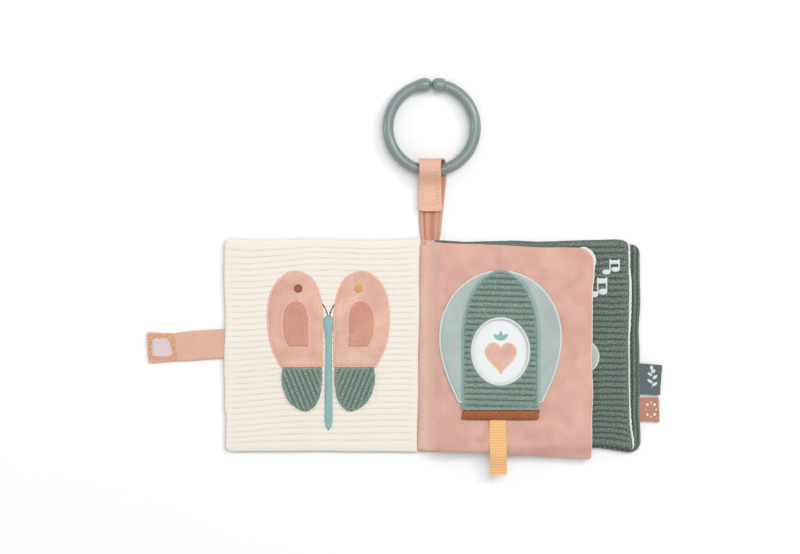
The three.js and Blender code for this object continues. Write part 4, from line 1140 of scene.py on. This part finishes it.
panelLoops = outlinesOf("window_panel")
panelTop = boxOf("window_panel")[1][2]
panelShape = {
    "low": panelTop - 0.95, "high": panelTop + 0.15, "reach": 1.8, "waves": 0.08,
    "ribs": {"pitch": 4.4, "depth": 0.5, "turn": -1.5, "sharp": 2.2},
}
windowBead = {"wide": 2.2, "high": 1.25, "base": panelTop - 0.9}
panelBead = {"wide": 1.8, "high": 2.8, "base": panelTop - 2.55}
sewnPatch("windowPanel", "window_panel", panelShape, "paleGreenCorduroy", "pale_green_corduroy", "pink_leaf",
          panelLoops[:2])
stitchedEdge("windowEdge", panelLoops[1], windowBead, "whiteThread", "pink_leaf")
panelRim = stitchedEdge("panelEdge", panelLoops[0], panelBead, "aquaThread", "pink_leaf")

cardShape = {"low": cardLow[2], "high": cardHigh[2], "reach": 0.5, "step": 3.0, "seamShare": 0.5}
cardTop, cardRoom = cardHigh[2], cardHigh[2] + 0.12
sewnPatch("windowCard", "window_card", cardShape, "whiteCotton", "white_cotton", "window_slider",
          outlinesOf("window_card")[:1])
archOver(panelRim, *cardPath, cardRoom)

windowMiddle = (panelLoops[1].min(axis=0) + panelLoops[1].max(axis=0)) / 2
heart = {"size": (11.5, 12.88), "at": (0.3, -3.5), "low": cardTop - 0.2, "high": cardTop + 0.5, "reach": 2.2,
         "step": 1.4, "soften": 0}
heartEdge = {"wide": 1.5, "high": 0.7, "base": cardTop - 0.2, "soften": 0}
sprig = {"long": 7.5, "wide": 3.4, "at": (0.3, 8.3), "turns": (-48, 0, 48), "low": cardTop - 0.2,
         "high": cardTop + 0.45, "reach": 1.0, "step": 0.8, "edgeStep": 0.5, "soften": 1}
turns = np.linspace(0, 2 * math.pi, 61)[:-1]
heartLine = np.stack([16 * np.sin(turns) ** 3, 13 * np.cos(turns) - 5 * np.cos(2 * turns) - 2 * np.cos(3 * turns)
                      - np.cos(4 * turns)], axis=1) / 16  # the well-known heart curve
heartLine = windowMiddle + heart["at"] + heartLine * heart["size"]
extraPatch("cardHeart", heartLine, heart, "wingVelvet", "window_slider")
stitchedEdge("cardHeartEdge", heartLine, heartEdge, "peachThread", "window_slider")
for turn in sprig["turns"]:
    line = leafLine(windowMiddle + sprig["at"], turn, sprig["long"], sprig["wide"], 14)
    extraPatch(f"cardSprig{turn - sprig['turns'][0]}", line, sprig, "aquaThread", "window_slider")

barLow, barHigh = boxOf("basket_bar")
barMiddle, barHalf = (barLow[:2] + barHigh[:2]) / 2, (barHigh[:2] - barLow[:2]) / 2
barShape = {"low": pinkTop - 0.3, "high": barHigh[2] + 0.7, "reach": 3.2, "step": 1.0, "edgeStep": 0.5, "waves": 0.22,
            "soften": 0}
barEnds = np.array([(-1, -0.55), (-0.97, -0.9), (-0.6, -0.97), (0.3, -1), (0.96, -1), (1, -0.5), (0.98, 0.7),
                    (0.9, 0.95), (0.2, 0.93), (-0.88, 1), (-0.99, 0.6)])
barLine = softened(evenLine(barMiddle + barEnds * barHalf, 0.6, True), 3)
along = np.arange(len(barLine))
barLine = barLine + sideOf(barLine) * (0.22 * np.sin(along * 2.1) + 0.12 * np.sin(along * 0.7))[:, None]
bar = sewnPatch("basketBar", "basket_bar", barShape, "rustThread", "rust_thread", "pink_leaf", [barLine])
archOver(bar, *cardPath, cardRoom)

barThreads = {
    "pitch": 0.62, "radius": 0.36, "slope": 1.1, "stray": 0.225, "sideStray": 0.12, "points": 7, "inside": 0.1,
    "endReach": 2.5, "crownPower": 2.2, "low": 0.2, "high": 0.55, "seed": 12,
}
draws = np.random.default_rng(barThreads["seed"])
share = np.linspace(-1, 1, barThreads["points"])
threadRows = []
for x in np.arange(barLow[0] + 0.5, barHigh[0] - 0.4, barThreads["pitch"]):
    ends = barHalf[1] - barThreads["inside"] + draws.uniform(-1, 1, 2) * barThreads["stray"]
    nearEnd = np.minimum(1, (barHalf[0] - abs(x - barMiddle[0])) / barThreads["endReach"])
    crown = nearEnd * np.sqrt(np.maximum(0, 1 - np.abs(share) ** barThreads["crownPower"]))
    threadRows.append(np.column_stack([
        x + share * barThreads["slope"] + draws.normal(0, barThreads["sideStray"]),
        barMiddle[1] + np.where(share < 0, ends[0], ends[1]) * share,
        pinkTop + barThreads["low"] + (barHigh[2] + barThreads["high"] - pinkTop) * crown]))
barStitches = threadPiece("basketBarThreads", threadRows, barThreads["radius"], "rustThread")
archOver(barStitches, *cardPath, cardRoom)
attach(barStitches, "pink_leaf")

ribbonLow, ribbonHigh = boxOf("pull_ribbon")
ribbonX, _, ribbonZ = (ribbonLow + ribbonHigh) / 2
ribbonHalf = (ribbonHigh[0] - ribbonLow[0]) / 2
ribbon = {"thick": 0.5, "shares": (0, 0.62, 1), "halves": ribbonHalf - np.array((0.3, 0.4, 0.7)),
          "middles": (-0.3, 0.0, 0.7), "waves": 0.12, "seed": 17, "step": 0.8}
sag = {"from": -81.0, "within": 17, "drop": 4.2}  # its free end hangs down a little
ribbonPath = [(ribbonX, y, ribbonZ - sag["drop"] * smoothStep(0, 1, (sag["from"] - y) / sag["within"]))
              for y in np.linspace(ribbonHigh[1], ribbonLow[1], 26)]
piece, _ = stripPiece("pullRibbon", ribbonPath, (1, 0, 0), ribbon, "apricotGrosgrain")
stand(piece, "apricot_grosgrain", "pull_ribbon", body="window_slider")
print("balloon made")


# Closure strap, its hook patch, and the loop patch on the outside of the back cover

rootLow, rootHigh = boxOf("closure_strap_root")
tipLow, tipHigh = boxOf("closure_strap_tip")
foldAt, rootAt = hingeOf("closure_tip_fold"), hingeOf("closure_strap_fold")
strapHalf = (rootHigh[1] - rootLow[1]) / 2
strapZ = (rootLow[2] + rootHigh[2]) / 2
strapThick = rootHigh[2] - rootLow[2]
strapLean = {"root": 1.9, "fold": 0.2, "tip": -1.5, "inside": 3.0}  # the strap lies a little askew
plainStrap = {"thick": strapThick * 0.8, "shares": (0, 0.45, 1), "waves": 0.14, "seed": 71, "step": 0.9,
              "bendLong": 4.5, "cutWide": 22.9}
strapParts = (  # piece, node, parent, child, hinge, ends, what is its own, cut length
    ("closureStrapRoot", "closure_strap_root", "front_cover", "closure_strap", rootAt,
     (rootAt[0] + strapLean["inside"], foldAt[0]),
     {"middles": (strapLean["root"], 1.2, strapLean["fold"]), "halves": strapHalf - np.array((0.4, 0.2, 0.1))}, 25.7),
    ("closureStrapTip", "closure_strap_tip", "closure_strap", "closure_tip", foldAt, (foldAt[0], tipLow[0]),
     {"middles": (strapLean["fold"], -1.1, strapLean["tip"]), "halves": strapHalf + np.array((0, -0.8, 0.45)),
      "slants": (0, 0, 0.8), "tipRound": 0.8}, 35.8),
)
for name, node, parent, child, hinge, ends, own, cut in strapParts:
    path = [(x, 0, strapZ) for x in np.linspace(*ends, 10)]
    piece, _ = stripPiece(name, path, (0, 1, 0), {**plainStrap, **own}, "strapPeach")
    bend(piece)
    stand(piece, "peach_cotton", node)

hookLow, hookHigh = boxOf("closure_hook_patch")
hookMiddle = (hookLow[:2] + hookHigh[:2]) / 2 + (0, strapLean["tip"] * 0.8)
hookHalf = (hookHigh[:2] - hookLow[:2]) / 2
hookCorners = np.array([(-0.92, -0.78), (-0.74, -0.98), (0.72, -1), (0.98, -0.82), (1, -0.45), (0.74, 0.62),
                        (0.5, 0.98), (-0.74, 0.98), (-0.94, 0.76)])
hookShape = {"low": tipHigh[2] - 0.6, "high": tipHigh[2] + 0.3, "reach": 0.6, "step": 0.9, "edgeStep": 0.35,
             "soften": 0, "waves": 0.05}
zigzag = {"grow": 1.05, "step": 1.25, "depth": 0.55, "seamGrow": 1.1}
zigzagLine = evenLine(hookMiddle + hookCorners * hookHalf * zigzag["grow"], zigzag["step"], True)
inAndOut = np.arange(len(zigzagLine)) % 2 * 2 - 1
zigzagLine = zigzagLine + sideOf(zigzagLine) * (zigzag["depth"] * inAndOut)[:, None]
sewnPatch("closureHookPatch", "closure_hook_patch", hookShape, "hookAndLoop", "hook_and_loop", "closure_tip",
          [zigzagLine])

seamCorners = np.array([(-1.26, -1.28), (1.45, -1.28), (1.12, 1.36), (-1.26, 1.36)])
outerSeam = shut(evenLine(hookMiddle + seamCorners * hookHalf, 1.0, True))
innerSeam = hookMiddle + (shut(zigzagLine) - hookMiddle) * zigzag["seamGrow"]
hookRows = [(np.column_stack([line, np.full(len(line), strapZ + strapThick * 0.4)]),
             np.repeat([[0.0, 0.0, 1.0]], len(line), axis=0)) for line in (outerSeam, innerSeam)]
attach(stitchRows("hookSeam", hookRows, "orangeThread", long=1.2, gap=1.1, radius=0.5, stray=0.28), "closure_tip")

cutSquare = np.array([(-1, -0.9), (-0.92, -1), (0.92, -1), (1, -0.9), (1, 0.9), (0.92, 1), (-0.92, 1), (-1, 0.9)])


def gripPatch(name, node, body, lower, higher, reach):
    # A square hook or loop patch with cut corners, a little thicker than the solid that it stands for.
    low, high = boxOf(node)
    shape = {"low": low[2] - lower, "high": high[2] + higher, "reach": reach, "step": 1.5, "seamShare": 0.4}
    line = (low[:2] + high[:2]) / 2 + cutSquare * (high[:2] - low[:2]) / 2
    sewnPatch(name, node, shape, "hookAndLoop", "hook_and_loop", body, [line])


gripPatch("closureLoopPatch", "closure_loop_patch", "back_cover", 0, 0.3, 0.6)

# Labels: ribbons folded over, with both ends in the seam of the back cover

labelForm = {"thick": 0.34, "shares": (0, 0.5, 1), "waves": 0.12, "step": 0.35, "inside": 2.5, "bendFrom": -0.5,
             "bendTo": 3}
labels = (  # piece, node, look, slot, seed, how its two layers lean, how wide they are, the fold's slant, cut length
    ("slateLabel", "slate_label", "slateWoven", "slate_woven", 3, (0.8, -0.6, 0.8), (1.0, 0.985, 1.0), 0.9, 37.0),
    ("roseLabel", "rose_label", "roseWoven", "rose_woven", 4, (0.5, -0.3, 0.5), (0.95, 1.01, 0.95), -0.3, 34.0),
)
for name, node, look, slot, seed, leans, narrow, sideways, cut in labels:
    labelLow, labelHigh = boxOf(node)
    hingeX, _, hingeZ = hingeOf(node + "_bend")
    _, middleY, middleZ = (labelLow + labelHigh) / 2
    _, halfY, halfZ = (labelHigh - labelLow) / 2
    gap = halfZ - labelForm["thick"] / 2
    root, out = hingeX - labelForm["inside"], labelHigh[0] - gap
    fold = [(out + gap * math.sin(a), middleY, middleZ + gap * math.cos(a)) for a in np.linspace(0, math.pi, 7)]
    path = [(root, middleY, middleZ + gap), *fold, (root, middleY, middleZ - gap)]
    strip = {**labelForm, "halves": halfY * np.array(narrow), "middles": leans, "seed": seed, "sideways": sideways}
    piece, _ = stripPiece(name, path, (0, 1, 0), strip, look)
    bend(piece)
    stand(piece, slot, node)

# Small woven motifs on the labels: a leaf sprig on the slate one, a ring of dots on the rose one

stem = np.array([(-0.4, -6.2), (0.3, -2.5), (0.0, 1.5), (-0.3, 6.0)])
stemLeaves = ((-4.0, 52, 4.2), (-2.2, -50, 4.4), (0.2, 50, 4.2), (2.0, -48, 3.9), (4.0, 40, 3.2), (5.6, 0, 3.4))
sprigScale = 1.25
dots = {"ring": 4.6, "stretch": (0.85, 1.15), "sizes": (0.8, 1.15)}
sprigMotifs = [sprigScale * leafLine(np.array([np.interp(place, stem[:, 1], stem[:, 0]), place]), turn, long, 2.1, 9)
               for place, turn, long in stemLeaves]
dotMotifs = [dots["ring"] * spot * dots["stretch"] + dots["sizes"][k % 2] * roundLine(10)
             for k, spot in enumerate(roundLine(8))]
motifPlaces = {}
for key, off, look, outlines in (("slate", (1.2, -0.3), "whiteThread", sprigMotifs),
                                 ("rose", (1.0, -0.2), "creamBack", dotMotifs)):
    labelLow, labelHigh = boxOf(f"{key}_label")
    middle, faceZ = motifPlaces[key] = (labelLow[:2] + labelHigh[:2]) / 2 + off, labelHigh[2]
    motif = {"low": faceZ - 0.3, "high": faceZ + 0.16, "reach": 0.4, "step": 0.8, "edgeStep": 0.4, "soften": 0}
    for count, outline in enumerate(outlines):
        extraPatch(f"{key}Motif{count}", outline + middle, motif, look, f"{key}_label")
middle, faceZ = motifPlaces["slate"]
stemEdge = {"wide": 0.6, "high": 0.3, "base": faceZ - 0.14, "soften": 1}
stitchedEdge("slateStem", stem * sprigScale + middle, stemEdge, "whiteThread", "slate_label", closed=False)
print("closure strap and labels made")


# Hanging strap: a band under the ring and round it, and a flap that comes back over the band

bandLow, bandHigh = boxOf("hanging_strap_band")
flapLow, flapHigh = boxOf("hanging_strap_flap")
liftAt, flapAt, ringAt = hingeOf("hanging_strap_lift"), hingeOf("hanging_flap_open"), hingeOf("ring_tilt")
bandX = (bandLow[0] + bandHigh[0]) / 2
bandThick = 1.6
bandZ = bandLow[2] + bandThick / 2
loopRadius = (flapHigh[2] - bandLow[2]) / 2 - bandThick / 2
loopY, loopZ = bandHigh[1] - bandThick / 2 - loopRadius, bandZ + loopRadius


def roundLoop(start, end):
    return [(bandX, loopY + loopRadius * math.cos(a), loopZ + loopRadius * math.sin(a))
            for a in np.linspace(start, end, 14)]


bandPath = [(bandX, y, bandZ) for y in np.linspace(79.2, loopY, 30)] + roundLoop(-math.pi / 2, 0)[1:]
# The band's folds hump the cloth and darken its tone as painted shade in the pleats.
band = {"thick": bandThick * 0.9, "shares": (0, 0.05, 0.13, 0.3, 0.72, 0.86, 1),
        "halves": (6.7, 7.2, 8.1, 9.1, 9.8, 9.8, 9.1), "middles": (-0.9, -0.9, -0.9, -0.8, 1.6, 1.8, 0.3),
        "folds": ((-0.55, 0.09, 1.0), (0.14, 0.22, 0.75), (0.74, 0.06, 0.7)), "waves": 0.14, "seed": 81, "step": 0.8,
        "bendFrom": -0.5, "bendTo": 4}
piece, bandMade = stripPiece("hangingBand", bandPath, (1, 0, 0), band, "shadedDeepPeachCotton")
bend(piece)
stand(piece, "peach_cotton", "hanging_strap_band")

layY, layZ = 121.0, boxOf("strap_hook_patch")[1][2] + 0.3 + bandThick / 2
loopTop = loopZ + loopRadius
flapPath = roundLoop(0, math.pi / 2)
flapPath += [(bandX, loopY - (loopY - layY) * s, loopTop - (loopTop - layZ) * (1 - math.cos(math.pi * s)) / 2)
             for s in np.linspace(0, 1, 14)[1:]]
flapPath += [(bandX, y, layZ) for y in np.linspace(layY, flapLow[1], 16)[1:]]
flapStrip = {"thick": bandThick * 0.9, "shares": (0, 0.2, 0.8, 1), "halves": (8.6, 8.1, 8.8, 8.9),
             "middles": (-0.8, -1.4, -1.1, -0.9), "sewn": (-0.7, 0.7), "dip": 0.22, "waves": 0.1, "seed": 82,
             "step": 0.8, "cup": -0.25, "tipRound": 1.2, "bendFrom": -0.2, "bendTo": -7, "seamReach": 0.7}
piece, flapMade = stripPiece("hangingFlap", flapPath, (1, 0, 0), flapStrip, "peachCotton")
bend(piece)
stand(piece, "peach_cotton", "hanging_strap_flap")

flapRun = flapMade["run"][-1]
flapEnds = (flapRun * 0.2, flapRun - 5.5)
seams = (  # piece, body, strip, a normal, seams as share and two places, places of seams across, thread
    ("flapSeam", "hanging_flap", flapMade, -1, [(share, *flapEnds) for share in (-0.72, 0.6, 0.76)], flapEnds,
     {"long": 1.6, "gap": 0.85, "radius": 0.6, "stray": 0.22}),
    ("bandSeam", "hanging_strap", bandMade, 3, [(-0.7, 5, 26), (0.82, 8, 26), (0.86, 48, 56)], (),
     {"long": 1.4, "gap": 1.0, "radius": 0.34}),
)
for name, body, made, at, lengthways, across, seamThread in seams:
    upward = 1 if made["normal"][at][2] > 0 else -1
    lift = upward * (bandThick * 0.45 - 0.12)
    rows = [rowOn(made, *row, lift) for row in lengthways]
    rows += [rowAcross(made, place, flapStrip["seamReach"], lift) for place in across]
    rows = [(line, normal * upward) for line, normal in rows]
    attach(stitchRows(name, rows, "seamThread", **seamThread), body)
gripPatch("bandLoopPatch", "strap_loop_patch", "hanging_strap", 0.2, 0, 0.5)
gripPatch("flapHookPatch", "strap_hook_patch", "hanging_flap", 0.2, 0, 0.5)

# Ring: an open hoop with two round ends that nearly touch, one of them set off by a neck

ringLow, ringHigh = boxOf("ring")
hoop = {
    "tube": 4.3, "end": 5.4, "gap": 0.2, "blunt": 4.4, "start": 0.02, "neckAt": 9.6, "neckLong": 0.6, "steps": 320,
    "sides": 28, "bowed": 0.4, "bowedFrom": 5, "bowedTo": 15, "even": 0.2,
    "ends": ((0.0, (6.0, 14.0)), (0.4, (9.0, 9.8))),  # the neck's depth, and where the swelling ends
}
hoopRadius = (ringHigh[0] - ringLow[0]) / 2 - hoop["tube"]
reachAngle = (hoop["gap"] / 2 + hoop["start"]) / hoopRadius
evenShare = np.linspace(0, 1, hoop["steps"])
share = (1 - hoop["even"]) * (np.sin((evenShare - 0.5) * math.pi) + 1) / 2 + hoop["even"] * evenShare
angles = math.pi / 2 + reachAngle + share * (2 * math.pi - 2 * reachAngle)
fromEnds = ((angles - angles[0]) * hoopRadius, (angles[-1] - angles) * hoopRadius)
radii = np.full(hoop["steps"], hoop["tube"])
for fromEnd, (neck, swellEnd) in zip(fromEnds, hoop["ends"]):
    radii = radii + (hoop["end"] - hoop["tube"]) * (1 - smoothStep(*swellEnd, fromEnd))
    radii = radii - neck * np.exp(-((fromEnd - hoop["neckAt"]) / hoop["neckLong"]) ** 2)
    past = 1 - np.clip((fromEnd + hoop["start"]) / hoop["blunt"], 0, 1)
    radii = radii * np.sqrt(1 - past ** 2)
bowed = hoopRadius - hoop["bowed"] * (1 - smoothStep(hoop["bowedFrom"], hoop["bowedTo"], np.minimum(*fromEnds)))
flatRing = np.stack([bowed * np.cos(angles), hoopRadius + bowed * np.sin(angles), np.zeros_like(angles)], axis=1)
lean = math.asin((ringAt[2] - hoop["end"]) / (2 * hoopRadius))
turnDown = np.array([[1, 0, 0], [0, math.cos(lean), math.sin(lean)], [0, -math.sin(lean), math.cos(lean)]])
ring = tubePiece("ring_hoop", flatRing @ turnDown.T + ringAt, radii, turnDown[:, 2], "sagePlastic", hoop["sides"])
stand(ring, "sage_plastic", "ring", body="ring")
print("hanging strap and ring made")


# Fillings that stay as packed, with their own finish

for name, node in frame["nodes"].items():
    if not node.hide_render:
        node.data.materials.clear()
        node.data.materials.append(looks["crackleFilm" if "film" in name else "wadding"])

# Floor, light and camera

paleFloor = {
    "size": 12, "below": 0.0002,
    "finish": {"Base Color": (0.885, 0.885, 0.885, 1), "Roughness": 0.9, "Specular IOR Level": 0.1},
}
floorLook, floorTree, floorShader = newLook("paleFloor")
setInputs(floorTree, floorShader, paleFloor["finish"])
bpy.ops.mesh.primitive_plane_add(size=paleFloor["size"], location=(0, 0, -paleFloor["below"]))
floor = bpy.context.object
floor.name = "paleGround"
floor.data.materials.append(floorLook)

studio = {
    "fill": 0.68, "aim": (-0.02, 0.05, 0),
    "lights": (  # name, power, size, place
        ("keyLight", 16.1, 1.2, (0.4, 0.62, 1.9)),
        ("rightLight", 5.1, 0.35, (0.95, 0.65, 1.05)),
        ("leftLight", 1.5, 0.25, (-1.1, 0.2, 0.45)),
    ),
}
world = bpy.data.worlds.new("studio")
world.use_nodes = True
setInputs(world.node_tree, world.node_tree.nodes["Background"], {"Color": (1, 1, 1, 1), "Strength": studio["fill"]})
bpy.context.scene.world = world
for name, power, size, place in studio["lights"]:
    lamp = bpy.data.lights.new(name, "AREA")
    lamp.energy = power
    lamp.size = size
    holder = bpy.data.objects.new(name, lamp)
    holder.location = place
    holder.rotation_euler = (Vector(studio["aim"]) - Vector(place)).to_track_quat("-Z", "Y").to_euler()
    bpy.context.scene.collection.objects.link(holder)
bpy.context.scene.view_settings.view_transform = "Standard"

view = {"pixelSize": 0.7614, "originColumn": 432, "originRow": 346, "columns": 800, "rows": 554, "height": 2600,
        "sensor": 36, "planeHeight": 10, "clipEnd": 20}
lens = bpy.data.cameras.new("straightDown")
lens.sensor_width = view["sensor"]
lens.lens = view["sensor"] * view["height"] / (view["columns"] * view["pixelSize"])
lens.clip_end = view["clipEnd"]
camera = bpy.data.objects.new("straightDown", lens)
camera.location = ((view["columns"] / 2 - view["originColumn"]) * view["pixelSize"] * mm,
                   (view["originRow"] - view["rows"] / 2) * view["pixelSize"] * mm,
                   (view["height"] + view["planeHeight"]) * mm)
bpy.context.scene.collection.objects.link(camera)
bpy.context.scene.camera = camera
print("studio made")
